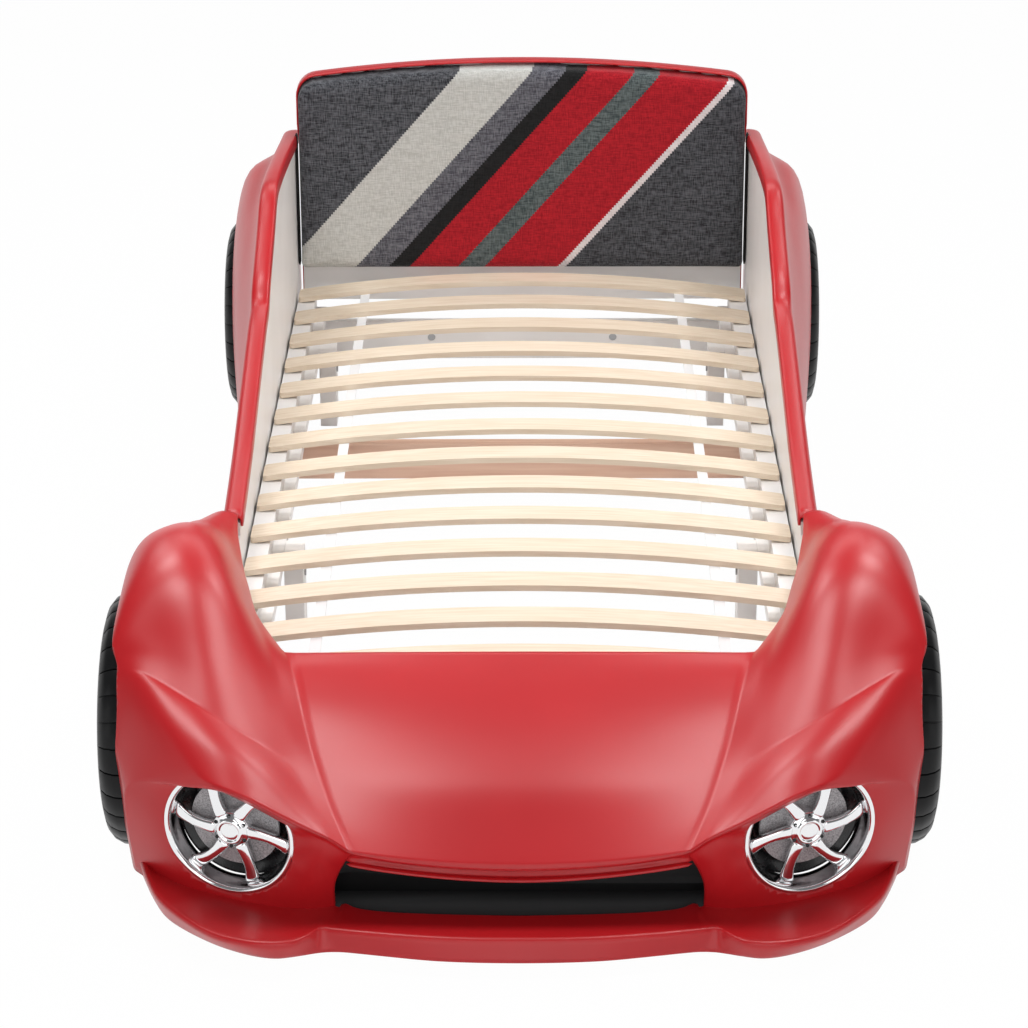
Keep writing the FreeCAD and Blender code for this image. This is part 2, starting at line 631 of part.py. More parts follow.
def ring(outer, inner, low, high):
    height = high - low
    tube = Part.makeCylinder(outer, height, Vector(0, 0, low))
    return tube.cut(Part.makeCylinder(inner, height, Vector(0, 0, low)))


def curved_spoke(root_radius, tip_radius, root_width, tip_width, low, high, sweep):
    """One spoke with two curved flanks; it widens and bends towards the rim."""
    half_root, half_tip = root_width / 2, tip_width / 2
    middle = (root_radius + tip_radius) / 2
    at = lambda x, y: Vector(x, y, low)
    near, far = at(root_radius, -half_root), at(tip_radius, sweep - half_tip)
    near_up, far_up = at(root_radius, half_root), at(tip_radius, sweep + half_tip)
    flank = Part.Arc(near, at(middle, sweep * 0.25 - half_root * 0.8), far).toShape()
    back = Part.Arc(far_up, at(middle, sweep * 0.25 + half_root * 0.8), near_up).toShape()
    edges = [flank, Part.LineSegment(far, far_up).toShape(), back,
             Part.LineSegment(near_up, near).toShape()]
    return Part.Face(Part.Wire(edges)).extrude(Vector(0, 0, high - low))


def star_wheel(radius, lip, depth, web, hub, root, tip, sweep, count):
    """Open barrel with a rolled lip, a hub and curved spokes; it faces +Z."""
    barrel = ring(radius, radius - lip, -depth, 0)
    edges = [edge for edge in barrel.Edges if edge.BoundBox.ZMin > -0.1]
    barrel = barrel.makeFillet(lip * 0.3, edges)
    centre = Part.makeCylinder(hub, web * 2, Vector(0, 0, -web * 3))
    for number in range(int(count)):
        spoke = curved_spoke(hub * 0.8, radius - lip * 0.6, root, tip, -web * 2.6, -web * 1.4,
                             sweep)
        spoke.rotate(Vector(0, 0, 0), Vector(0, 0, 1), number * 360 / count)
        centre = centre.fuse(spoke)
    return barrel.fuse(centre).removeSplitter()


def make_lamps():
    """Each headlamp: spoked chrome rim, bare centre cap, grey disc and black bucket."""
    gap = size("shell_gap")
    radius, depth = size("lamp_radius"), size("lamp_depth")
    web = size("lamp_spoke_thickness")
    for side, sign in SIDES.items():
        place = lamp_place(sign)
        rim = star_wheel(radius, size("lamp_ring"), depth, web, size("lamp_hub"),
                         size("lamp_spoke_root"), size("lamp_spoke_tip"), sign * 16,
                         size("spoke_count"))
        cap = Part.makeCylinder(size("lamp_cap_radius"), size("lamp_cap_thickness"),
                                Vector(0, 0, -web))
        disc_low = -web * 3 - gap - size("lamp_disc_thickness")
        disc = Part.makeCylinder(size("lamp_disc_radius"), size("lamp_disc_thickness"),
                                 Vector(0, 0, disc_low))
        wall = size("lamp_bucket_wall")
        low = -size("lamp_bucket_depth")
        cup_radius = size("lamp_bucket_radius")
        high = -depth - gap
        back_radius = cup_radius - size("lamp_bucket_taper")
        cup = Part.makeCone(back_radius, cup_radius, high - low, Vector(0, 0, low))
        cup = cup.cut(Part.makeCone(back_radius - wall, cup_radius - wall, high - low - wall,
                                    Vector(0, 0, low + wall)))
        post = Part.makeCylinder(size("lamp_cap_radius"), disc_low - gap - low - wall,
                                 Vector(0, 0, low + wall))
        cup = cup.fuse(post)
        for name, shape in (("rim", rim), ("cap", cap), ("disc", disc), ("bucket", cup)):
            piece = shape_piece(f"lamp_{name}_{side}", shape)
            piece.Placement = place


# --- side shells --------------------------------------------------------------------------

def side_line(sign, section, inset):
    """Rail top, straight valley side and wing line of one section, as three point lists."""
    inner = worked(PANEL_INNER)
    y, top, *side = section
    valley, crown, widest, foot = [(inner + x, z) for x, z in side]
    lip_x = inner - size("shell_wall") - size("board_gap")
    outer_x = lip_x + size("rail_width")
    rail = [(lip_x, top - size("rail_side_drop") * 0.6), (lip_x + 9, top - 3),
            (lip_x + size("rail_width") * 0.55, top),
            (outer_x, top - size("rail_side_drop"))]
    line = rail + [valley, crown, widest, foot]
    if inset:
        line = inset_line(line, inset)
        line[0] = (lip_x + inset, line[1][1])
        line = [line[0]] + line[2:]
        line[-1] = (line[-1][0], foot[1])
    count = len(line) - 4
    at = lambda point: Vector(sign * point[0], y, point[1])
    return [at(point) for point in line[:count]], [at(point) for point in line[count:]]


def side_skin_wire(sign, section):
    """Closed section of the moulded wall itself, from the rail's lip to the foot."""
    rail, wing = side_line(sign, section, 0)
    rail_in, wing_in = side_line(sign, section, size("shell_wall"))
    low = Vector(rail[0].x, rail[0].y, section[1] - size("rail_lip"))
    low_in = Vector(rail_in[0].x, low.y, low.z)
    straight = lambda a, b: Part.LineSegment(a, b).toShape()
    return Part.Wire([
        straight(low, rail[0]), spline_edge(rail), straight(rail[-1], wing[0]),
        spline_edge(wing), straight(wing[-1], wing_in[-1]),
        spline_edge(list(reversed(wing_in))), straight(wing_in[0], rail_in[-1]),
        spline_edge(list(reversed(rail_in))), straight(rail_in[0], low_in),
        straight(low_in, low)])


def side_fill_wire(sign, section, inset):
    """Closed section of the room inside the moulded wall, back to the side panel."""
    rail, wing = side_line(sign, section, inset)
    panel_x = sign * (worked(PANEL_INNER) + size("board_thickness") + size("board_gap"))
    y = rail[0].y
    top, foot = rail[-1].z, wing[-1].z
    straight = lambda a, b: Part.LineSegment(a, b).toShape()
    upper, lower = Vector(panel_x, y, top), Vector(panel_x, y, foot)
    return Part.Wire([straight(upper, rail[-1]), straight(rail[-1], wing[0]),
                      spline_edge(wing), straight(wing[-1], lower), straight(lower, upper)])


def make_side_shells():
    """Rail, body side and rear wing of each side in one moulding."""
    wall = size("shell_wall")
    arch_x = arch_floor("rear")
    centre = size("rear_wheel_y")
    sections = side_sections()
    for side, sign in SIDES.items():
        skin = form_loft([side_skin_wire(sign, row) for row in sections])
        room = form_loft([side_fill_wire(sign, row, wall / 2) for row in sections])
        end_wall = Part.Face(side_fill_wire(sign, sections[-1], wall / 2))
        end_wall = end_wall.extrude(Vector(0, -wall, 0))
        bowl = wheel_space(sign, centre, arch_radius() + wall, arch_x - wall)
        bowl = bowl.common(room).cut(wheel_space(sign, centre, arch_radius(), arch_x))
        skin = skin.cut(wheel_space(sign, centre, arch_radius(), arch_x))
        shape_piece("side_shell_" + side, skin.fuse([bowl, end_wall]))


# --- wheels -------------------------------------------------------------------------------


def wheel_place(sign, face, centre_y):
    """Turns a wheel made along +Z so that its outer face looks away from the bed."""
    turn = Rotation(Vector(0, 1, 0), sign * 90)
    return FreeCAD.Placement(Vector(sign * face, centre_y, size("wheel_height")), turn)


def tyre_shape():
    """Tyre with a rounded outer shoulder and slots across its tread."""
    radius, width, bead = size("wheel_radius"), size("wheel_width"), size("tyre_bead")
    tyre = ring(radius, bead, -width, 0)
    outer_edge = [edge for edge in tyre.Edges
                  if edge.BoundBox.ZMin > -0.1 and edge.BoundBox.XLength > 2 * radius - 1]
    tyre = tyre.makeFillet(size("tyre_shoulder"), outer_edge)
    slots = []
    count, slot = int(size("tread_blocks")), size("tread_slot")
    for number in range(count):
        cut = Part.makeBox(20, slot, width * 0.62,
                           Vector(radius - size("tread_depth"), -slot / 2, -width * 0.62))
        cut.rotate(Vector(0, 0, 0), Vector(0, 0, 1), number * 360 / count)
        slots.append(cut)
    return tyre.cut(Part.makeCompound(slots))


def make_wheels():
    """Four decorative wheels screwed into the arches: tyre, spoked rim and bare cap."""
    tyre = tyre_shape()
    web = size("rim_web")
    rim = star_wheel(size("rim_radius"), size("rim_lip"), size("rim_depth"), web,
                     size("hub_radius"), size("spoke_root"), size("spoke_tip"), 20,
                     size("spoke_count"))
    boss_low = -size("wheel_width")
    boss = Part.makeCylinder(size("hub_radius") * 0.8, -web * 3 - boss_low,
                             Vector(0, 0, boss_low))
    rim = rim.fuse(boss).removeSplitter()
    cap = Part.makeCylinder(size("cap_radius"), size("cap_thickness"), Vector(0, 0, -web))
    for end in ("front", "rear"):
        for side, sign in SIDES.items():
            place = wheel_place(sign, wheel_face(end), size(end + "_wheel_y"))
            for name, shape in (("tyre", tyre), ("wheel_rim", rim), ("wheel_cap", cap)):
                piece = shape_piece(f"{name}_{end}_{side}", shape)
                piece.Placement = place


# --- headboard ----------------------------------------------------------------------------


def arched_outline(half, low, top, corner, foot_corner, y):
    """Upright outline with an arched top and rounded corners."""
    at = lambda x, z: Vector(x, y, z)
    arch = size("pad_arch")
    arch_radius = (half * half + arch * arch) / (2 * arch)
    reach = math.sqrt((arch_radius - corner) ** 2 - (half - corner) ** 2)
    corner_z = top - arch_radius + reach
    turn = math.atan2(reach, half - corner)
    lean = foot_corner * (1 - math.cos(math.radians(45)))
    ends = []
    for sign in (1, -1):
        round_at = lambda angle: at(sign * (half - corner + corner * math.cos(angle)),
                                    corner_z + corner * math.sin(angle))
        ends.append([at(sign * (half - foot_corner), low), at(sign * (half - lean), low + lean),
                     at(sign * half, low + foot_corner), round_at(0), round_at(turn / 2),
                     round_at(turn)])
    right, left = ends
    straight = lambda a, b: Part.LineSegment(a, b).toShape()
    edges = [straight(left[0], right[0]), Part.Arc(*right[0:3]).toShape(),
             straight(right[2], right[3]), Part.Arc(*right[3:6]).toShape(),
             Part.Arc(right[5], at(0, top), left[5]).toShape(),
             Part.Arc(left[5], left[4], left[3]).toShape(), straight(left[3], left[2]),
             Part.Arc(left[2], left[1], left[0]).toShape()]
    return Part.Wire(edges)


def head_half():
    """Half the width of the headboard's tray, between the lips of the two rails."""
    return worked(PANEL_INNER) - size("head_side_gap") - size("board_gap")


def head_recess(gap, depth):
    """The room inside the tray's rim, from the front of its floor forwards."""
    rim = size("head_rim") + gap
    low = size("head_board_bottom") + gap
    floor = worked(HEAD_BOARD_FRONT) + size("board_thickness") + size("shell_gap") - gap
    outline = arched_outline(head_half() - rim, low, size("head_top") - rim,
                             size("head_corner") - rim, size("head_rim"), floor - depth)
    return Part.Face(outline).extrude(Vector(0, depth, 0))


def make_headboard_board():
    """Board inside the tray; the pad is fixed to it."""
    shape_piece("headboard_board", head_recess(size("shell_gap"), size("board_thickness")))


def make_headboard_pad():
    """Upholstered pad: flat back in the tray, rolled edge and a low crown on its face."""
    back = worked(HEAD_BOARD_FRONT) - size("board_gap")
    thick, roll, crown = size("pad_thickness"), size("pad_roll"), size("pad_crown")
    over, rim_reach = size("pad_overhang"), size("head_rim_reach")
    half = head_half() - size("pad_side_gap")
    low, top = size("pad_bottom"), size("head_top") - size("pad_top_gap")
    # each row: place through the thickness and how far the outline is drawn in there
    rows = [(0, over + 1), (rim_reach - 1, over), (rim_reach + 5, 0),
            (thick - crown - roll * 0.2, roll * 0.35), (thick - crown * 0.6, roll * 1.6),
            (thick, roll * 6)]
    wires = []
    for depth, shrink in rows:
        wires.append(arched_outline(half - shrink, low + shrink, top - shrink,
                                    size("pad_corner") - shrink * 0.3, size("pad_foot_corner"),
                                    back - depth))
    shape_piece("headboard_pad", form_loft(wires))


def make_headboard_shell():
    """Red tray behind the pad, with a rim round the pad and its board."""
    front, back = worked(HEAD_BOARD_FRONT) - size("head_rim_reach"), worked(HEAD_BACK)
    low, corner = size("head_bottom"), size("head_corner")
    outline = arched_outline(head_half(), low, size("head_top"), corner, size("head_rim"), front)
    solid = Part.Face(outline).extrude(Vector(0, back - front, 0))
    rounded = [edge for edge in solid.Edges
               if edge.BoundBox.YLength < 0.01 and edge.BoundBox.ZMax > low + corner + 1]
    solid = solid.makeFillet(size("head_rim") * 0.45, rounded)
    room = head_recess(0, 2 * size("pad_thickness"))
    shape_piece("headboard_shell", solid.cut(room))


# --- assembly -----------------------------------------------------------------------------

make_front_shell()
make_grille()
make_lamps()
make_side_shells()
make_wheels()
make_side_panels()
make_cross_boards()
make_ledges()
make_legs()
for slat_number in range(1, int(size("slat_count")) + 1):
    slat(slat_number)
make_tapes()
make_small_hardware()
make_headboard_board()
make_headboard_pad()
make_headboard_shell()
doc.recompute()

for item in doc.Objects:
    if "Invalid" in item.State or "Error" in item.State:
        raise RuntimeError(f"{item.Label} did not build: {item.State}")
for piece in pieces:
    if piece.Shape.isNull() or not piece.Shape.isValid():
        raise RuntimeError(f"{piece.Label} has no valid shape")
    if not piece.Shape.Solids:
        raise RuntimeError(f"{piece.Label} has no solid")

os.makedirs("parts", exist_ok=True)
for piece in pieces:
    piece.Shape.exportStep(f"parts/{piece.Label}.step")
print(len(pieces), "pieces written")
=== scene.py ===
import math

import bmesh
import bpy
from mathutils import Euler, Matrix, Vector
from mathutils.bvhtree import BVHTree


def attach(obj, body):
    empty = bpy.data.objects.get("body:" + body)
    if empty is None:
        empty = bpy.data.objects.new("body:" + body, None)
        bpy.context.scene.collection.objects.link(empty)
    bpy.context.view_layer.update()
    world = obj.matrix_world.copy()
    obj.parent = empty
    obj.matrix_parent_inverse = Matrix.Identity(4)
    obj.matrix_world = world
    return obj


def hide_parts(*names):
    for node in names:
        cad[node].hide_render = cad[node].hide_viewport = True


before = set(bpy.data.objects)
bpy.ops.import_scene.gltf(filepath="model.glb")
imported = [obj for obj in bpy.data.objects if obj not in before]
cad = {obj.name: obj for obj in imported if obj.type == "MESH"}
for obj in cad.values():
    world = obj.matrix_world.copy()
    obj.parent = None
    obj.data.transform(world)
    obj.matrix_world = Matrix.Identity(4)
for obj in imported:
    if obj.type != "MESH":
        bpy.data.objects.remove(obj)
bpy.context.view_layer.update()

# --- Studio -------------------------------------------------------------------------------
# The bed stands on a plain white floor under softboxes on all sides and a dim sky. The camera
# looks down on it from the front through a long lens.

SIDES = ((-1, "left"), (1, "right"))
CAMERA_PLACE, CAMERA_LENS, CAMERA_SENSOR, CAMERA_REACH = (0.015, -5.109, 2.321), 113.32, 36, 50
CAMERA_DOWN, CAMERA_TURN, CAMERA_ROLL = (math.radians(turn) for turn in (22.791, 0.301, -0.179))
camera = bpy.data.objects.new("camera", bpy.data.cameras.new("camera"))
camera.data.lens, camera.data.sensor_width = CAMERA_LENS, CAMERA_SENSOR
camera.data.clip_end = CAMERA_REACH
aim = Euler((math.pi / 2 - CAMERA_DOWN, 0, CAMERA_TURN)).to_matrix()
aim = aim @ Matrix.Rotation(CAMERA_ROLL, 3, "Z")
camera.matrix_world = Matrix.Translation(CAMERA_PLACE) @ aim.to_4x4()
bpy.context.scene.collection.objects.link(camera)
bpy.context.scene.camera = camera
bpy.context.scene.view_settings.view_transform = "Standard"


def softbox(name, place, target, width, length, power):
    """A large soft lamp that looks at a point of the bed."""
    lamp = bpy.data.objects.new(name, bpy.data.lights.new(name, "AREA"))
    lamp.data.shape = "RECTANGLE"
    lamp.data.size, lamp.data.size_y = width, length
    lamp.data.energy = power
    lamp.location = place
    lamp.rotation_euler = (Vector(target) - Vector(place)).to_track_quat("-Z", "Y").to_euler()
    bpy.context.scene.collection.objects.link(lamp)


# Each softbox: its name, place and target, then its width, length and power in watts. The first
# four stand on both sides of the bed, the others in its middle.
PAIRED_LAMPS = [
    ("front", (0.78, -0.72, 2.6), (0.25, -0.9, 0.2), 0.6, 0.75, 20),
    ("rear", (1.20, 0.68, 2.6), (0.3, -0.1, 0.2), 0.8, 0.6, 19),
    ("tail", (2.0, 2.4, 2.6), (0.4, 0.4, 0.3), 0.8, 1.2, 11),
    ("side", (3.2, -2.3, 1.1), (0.5, -0.9, 0.2), 1.4, 1.4, 7),
]
MIDDLE_LAMPS = [
    ("camera", (0, -4.6, 3.1), (0, -0.8, 0.1), 2.8, 1.3, 23),
    ("low", (0, -4.2, 0.9), (0, -1.0, 0.15), 3.2, 0.9, 18),
    ("back", (0, 3.0, 2.5), (0, 0.3, 0.2), 2.6, 0.6, 16),
]


def on_side(sign, point):
    """A point of the right half, or its mirror image in the left half."""
    return Vector((sign * point[0], point[1], point[2]))


for sign, side in SIDES:
    for name, place, target, width, length, power in PAIRED_LAMPS:
        softbox(f"softbox_{name}_{side}", on_side(sign, place), on_side(sign, target),
                width, length, power)
for name, *setting in MIDDLE_LAMPS:
    softbox(f"softbox_{name}", *setting)


def reckon(holder, operation, *values):
    """A sum in a shader; each value is a number or a socket."""
    node = holder.node_tree.nodes.new("ShaderNodeMath")
    node.operation = operation
    for socket, value in zip(node.inputs, values):
        if isinstance(value, bpy.types.NodeSocket):
            holder.node_tree.links.new(value, socket)
        else:
            socket.default_value = value
    return node.outputs[0]


def white_to_camera(holder, plain, share):
    """Mix a plain shader with pure white, which only the camera and mirrors see."""
    nodes, links = holder.node_tree.nodes, holder.node_tree.links
    path = nodes.new("ShaderNodeLightPath")
    seen = path.outputs["Is Camera Ray"]
    for ray in ("Is Transmission Ray", "Is Glossy Ray"):
        seen = reckon(holder, "MAXIMUM", seen, path.outputs[ray])
    sky_kind = isinstance(holder, bpy.types.World)
    white = nodes.new("ShaderNodeBackground" if sky_kind else "ShaderNodeEmission")
    white.inputs["Color"].default_value = (1, 1, 1, 1)
    white.inputs["Strength"].default_value = 1.0
    mix = nodes.new("ShaderNodeMixShader")
    links.new(reckon(holder, "MULTIPLY", seen, share), mix.inputs[0])
    links.new(plain.outputs[0], mix.inputs[1])
    links.new(white.outputs[0], mix.inputs[2])
    out = next(node for node in nodes if node.type.startswith("OUTPUT"))
    links.new(mix.outputs[0], out.inputs["Surface"])


# the backdrop is white near the horizon, and the ceiling above it is dim
SKY_STRENGTH, WHITE_BELOW, DIM_ABOVE = 0.18, 0.06, 0.16
world = bpy.data.worlds.new("studio_room")
bpy.context.scene.world = world
world.use_nodes = True
sky = world.node_tree.nodes["Background"]
sky.inputs["Color"].default_value = (0.97, 0.98, 1.0, 1)
sky.inputs["Strength"].default_value = SKY_STRENGTH
direction = world.node_tree.nodes.new("ShaderNodeTexCoord")
height = world.node_tree.nodes.new("ShaderNodeSeparateXYZ")
world.node_tree.links.new(direction.outputs["Generated"], height.inputs["Vector"])
horizon = world.node_tree.nodes.new("ShaderNodeMapRange")
horizon.inputs["From Min"].default_value = WHITE_BELOW
horizon.inputs["From Max"].default_value = DIM_ABOVE
horizon.inputs["To Min"].default_value, horizon.inputs["To Max"].default_value = 1.0, 0.0
world.node_tree.links.new(height.outputs["Z"], horizon.inputs["Value"])
white_to_camera(world, sky, horizon.outputs["Result"])

FLOOR_HALF, FLOOR_WHITE = 14, 0.985
floor_mesh = bpy.data.meshes.new("floor")
floor_mesh.from_pydata([(-FLOOR_HALF, -FLOOR_HALF, 0), (FLOOR_HALF, -FLOOR_HALF, 0),
                        (FLOOR_HALF, FLOOR_HALF, 0), (-FLOOR_HALF, FLOOR_HALF, 0)], [],
                       [(0, 1, 2, 3)])
floor = bpy.data.objects.new("floor", floor_mesh)
bpy.context.scene.collection.objects.link(floor)
floor_paint = bpy.data.materials.new("white_floor")
floor_paint.use_nodes = True
floor_shader = floor_paint.node_tree.nodes["Principled BSDF"]
floor_shader.inputs["Base Color"].default_value = (0.86, 0.86, 0.87, 1)
floor_shader.inputs["Roughness"].default_value = 0.8
white_to_camera(floor_paint, floor_shader, FLOOR_WHITE)
floor_mesh.materials.append(floor_paint)

# --- White boards -------------------------------------------------------------------------
# Side panels, battens, foot board, stretcher, legs and the board behind the pad are particle
# board with white melamine. They keep the shapes of the construction.


def surface(name, colour, roughness, metallic=0.0, specular=0.5):
    """A principled material with its constants set on the shader's own sockets."""
    material = bpy.data.materials.new(name)
    material.use_nodes = True
    shader = material.node_tree.nodes["Principled BSDF"]
    shader.inputs["Base Color"].default_value = (*colour, 1)
    shader.inputs["Roughness"].default_value = roughness
    shader.inputs["Metallic"].default_value = metallic
    shader.inputs["Specular IOR Level"].default_value = specular
    return material


def noise(material, scale, detail=2.0, stretch=(1, 1, 1)):
    """A noise of the object's own space; stretch makes it long along an axis."""
    nodes, links = material.node_tree.nodes, material.node_tree.links
    place = nodes.new("ShaderNodeTexCoord")
    mapping = nodes.new("ShaderNodeMapping")
    mapping.inputs["Scale"].default_value = stretch
    links.new(place.outputs["Object"], mapping.inputs["Vector"])
    texture = nodes.new("ShaderNodeTexNoise")
    texture.inputs["Scale"].default_value = scale
    texture.inputs["Detail"].default_value = detail
    links.new(mapping.outputs["Vector"], texture.inputs["Vector"])
    return texture.outputs["Fac"]


def vary(material, socket, value, low, high):
    """Drive a socket by a value from 0 to 1, between two numbers or two colours."""
    nodes, links = material.node_tree.nodes, material.node_tree.links
    shader = nodes["Principled BSDF"]
    if isinstance(low, tuple):
        ramp = nodes.new("ShaderNodeValToRGB")
        for stop, position, colour in zip(ramp.color_ramp.elements, (0.3, 0.7), (low, high)):
            stop.position, stop.color = position, (*colour, 1)
        links.new(value, ramp.inputs["Fac"])
        links.new(ramp.outputs["Color"], shader.inputs[socket])
    else:
        span = nodes.new("ShaderNodeMapRange")
        span.inputs["To Min"].default_value, span.inputs["To Max"].default_value = low, high
        links.new(value, span.inputs["Value"])
        links.new(span.outputs["Result"], shader.inputs[socket])


def bump(material, height, distance):
    """Raise the surface a little by a height from 0 to 1; distance is in metres."""
    nodes, links = material.node_tree.nodes, material.node_tree.links
    raised = nodes.new("ShaderNodeBump")
    raised.inputs["Distance"].default_value = distance
    links.new(height, raised.inputs["Height"])
    links.new(raised.outputs["Normal"], nodes["Principled BSDF"].inputs["Normal"])


def dress(material, *names):
    """Give CAD nodes their finished material."""
    for name in names:
        mesh = cad[name].data
        mesh.materials.clear()
        mesh.materials.append(material)


melamine = surface("white_melamine", (0.82, 0.82, 0.82), 0.42)
vary(melamine, "Base Color", noise(melamine, 9, 4), (0.89, 0.87, 0.85), (0.93, 0.91, 0.895))
vary(melamine, "Roughness", noise(melamine, 40, 3), 0.36, 0.5)
bump(melamine, noise(melamine, 900, 2), 0.00006)
boards = ["foot_board", "head_stretcher", "headboard_board"]
boards += [f"{kind}_{side}" for kind in ("side_panel", "ledge") for _, side in SIDES]
boards += [f"leg_{end}_{side}" for end in ("front", "rear") for _, side in SIDES]
dress(melamine, *boards)

# --- Middle rail --------------------------------------------------------------------------
# A planed softwood rail with a reddish stain crosses the bed under the middle slats.

stained = surface("stained_softwood", (0.62, 0.33, 0.22), 0.6)
vary(stained, "Base Color", noise(stained, 14, 6, (0.25, 6, 6)), (0.74, 0.45, 0.33),
     (0.90, 0.64, 0.50))
bump(stained, noise(stained, 60, 4, (0.2, 5, 5)), 0.0004)
dress(stained, "middle_rail")

# --- Slats --------------------------------------------------------------------------------
# Fourteen slats of glued birch veneers, bent up in the middle and lacquered clear. Their cut
# edges show the layers a little darker; here each slat has one material all over.

birch = surface("birch_veneer", (0.84, 0.71, 0.55), 0.5)
grain = noise(birch, 22, 8, (0.35, 7, 7))
vary(birch, "Base Color", grain, (0.76, 0.62, 0.46), (0.88, 0.76, 0.61))
vary(birch, "Roughness", noise(birch, 30, 3), 0.42, 0.6)
bump(birch, grain, 0.00025)
dress(birch, *[f"slat_{number:02d}" for number in range(1, 15)])

# --- Tapes --------------------------------------------------------------------------------
# Two woven white tapes run under the slats and keep their spacing.

tape_cloth = surface("white_tape", (0.80, 0.80, 0.80), 0.85)
bump(tape_cloth, noise(tape_cloth, 700, 2, (1, 0.3, 1)), 0.0003)
dress(tape_cloth, "tape_left", "tape_right")

# --- Small fittings -----------------------------------------------------------------------
# Black plastic glides under the legs, zinc-plated screw heads and cam locks.

glide_plastic = surface("black_glides", (0.03, 0.03, 0.03), 0.5)
bump(glide_plastic, noise(glide_plastic, 500, 2), 0.0001)
dress(glide_plastic, "floor_glides")
zinc = surface("dark_zinc", (0.42, 0.42, 0.43), 0.4, metallic=0.6)
vary(zinc, "Roughness", noise(zinc, 300, 3), 0.3, 0.55)
dress(zinc, "leg_screws", "cam_locks")

# --- Front shell --------------------------------------------------------------------------
# Hood, wings, nose and lip are one vacuum-formed moulding in satin red, about 4 mm thick. It
# is drawn here as rows of stations across one half, from the joint to the brow over the
# headlamp, with a wall below the brow; the other half is its mirror image.

red = surface("satin_red", (0.56, 0.011, 0.016), 0.34, specular=0.5)
vary(red, "Base Color", noise(red, 5, 3), (0.50, 0.0085, 0.0130), (0.54, 0.0110, 0.0160))
vary(red, "Roughness", noise(red, 160, 3), 0.32, 0.37)
bump(red, noise(red, 420, 2), 0.00005)

SHELL_WALL, SHELL_FOOT, FLANGE_BOTTOM, JOINT_INNER = 0.004, 0.02, 0.25, 0.4765


def smooth_through(points, steps, corners=()):
    """Points on a Catmull-Rom line through the given ones; it may break at some of them."""
    line = []
    breaks = [0, *corners, len(points) - 1]
    for first, last in zip(breaks, breaks[1:]):
        for index in range(first, last):
            b, c = points[index], points[index + 1]
            a = points[index - 1] if index > first else b + (b - c)
            d = points[index + 2] if index + 1 < last else c + (c - b)
            for step in range(steps):
                t = step / steps
                line.append(0.5 * ((2 * b) + (c - a) * t + (2 * a - 5 * b + 4 * c - d) * t * t
                                   + (3 * b - a - 3 * c + d) * t ** 3))
    line.append(points[-1])
    return line


def creasable():
    """An empty bmesh whose edges can be creased."""
    bm = bmesh.new()
    bm.edges.layers.float.new("crease_edge")
    return bm


def sharpen(bm, line, weight):
    """Crease the edges along a line of vertices."""
    crease = bm.edges.layers.float["crease_edge"]
    for first, second in zip(line, line[1:]):
        edge = bm.edges.get((first, second))
        if edge:
            edge[crease] = weight


def join_rows(bm, rows, closed=False):
    """Join each row of vertices to the next with four-sided faces; closed rows run round."""
    if closed:
        rows = [row + row[:1] for row in rows]
    for upper, lower in zip(rows, rows[1:]):
        for index in range(len(upper) - 1):
            bm.faces.new((upper[index], upper[index + 1], lower[index + 1], lower[index]))


def body_of_rings(bm, rings):
    """Join closed rings of vertices and cap both ends."""
    join_rows(bm, rings, closed=True)
    bm.faces.new(rings[0])
    bm.faces.new(rings[-1])


def add_mesh(name, bm, material):
    """Turn a bmesh into a smooth-shaded object whose faces look outwards."""
    bmesh.ops.recalc_face_normals(bm, faces=bm.faces)
    mesh = bpy.data.meshes.new(name)
    bm.normal_update()
    bm.to_mesh(mesh)
    bm.free()
    for polygon in mesh.polygons:
        polygon.use_smooth = True
    mesh.materials.append(material)
    piece = bpy.data.objects.new(name, mesh)
    bpy.context.scene.collection.objects.link(piece)
    return piece


def other_half(piece):
    """Mirror a half piece across the middle of the bed."""
    mirror = piece.modifiers.new("other_half", "MIRROR")
    mirror.use_clip = True
    mirror.merge_threshold = 0.0002


def round_off(piece, levels):
    """Subdivide a piece smoothly."""
    piece.modifiers.new("rounding", "SUBSURF").levels = levels


def thicken(piece, wall, offset=0):
    """Give a skin its wall: half to each side of it, or all inwards at an offset of -1."""
    thick = piece.modifiers.new("wall", "SOLIDIFY")
    thick.thickness, thick.offset = wall, offset


def apply_modifiers(piece):
    """Replace a piece's mesh by what its modifiers make of it."""
    bpy.context.view_layer.update()
    shown = piece.evaluated_get(bpy.context.evaluated_depsgraph_get())
    made = bpy.data.meshes.new_from_object(shown)
    piece.modifiers.clear()
    old, piece.data = piece.data, made
    bpy.data.meshes.remove(old)


def planar(y, *pairs):
    """A row of stations in one plane across the bed, from (x, z) pairs."""
    return [Vector((x, y, z)) for x, z in pairs]


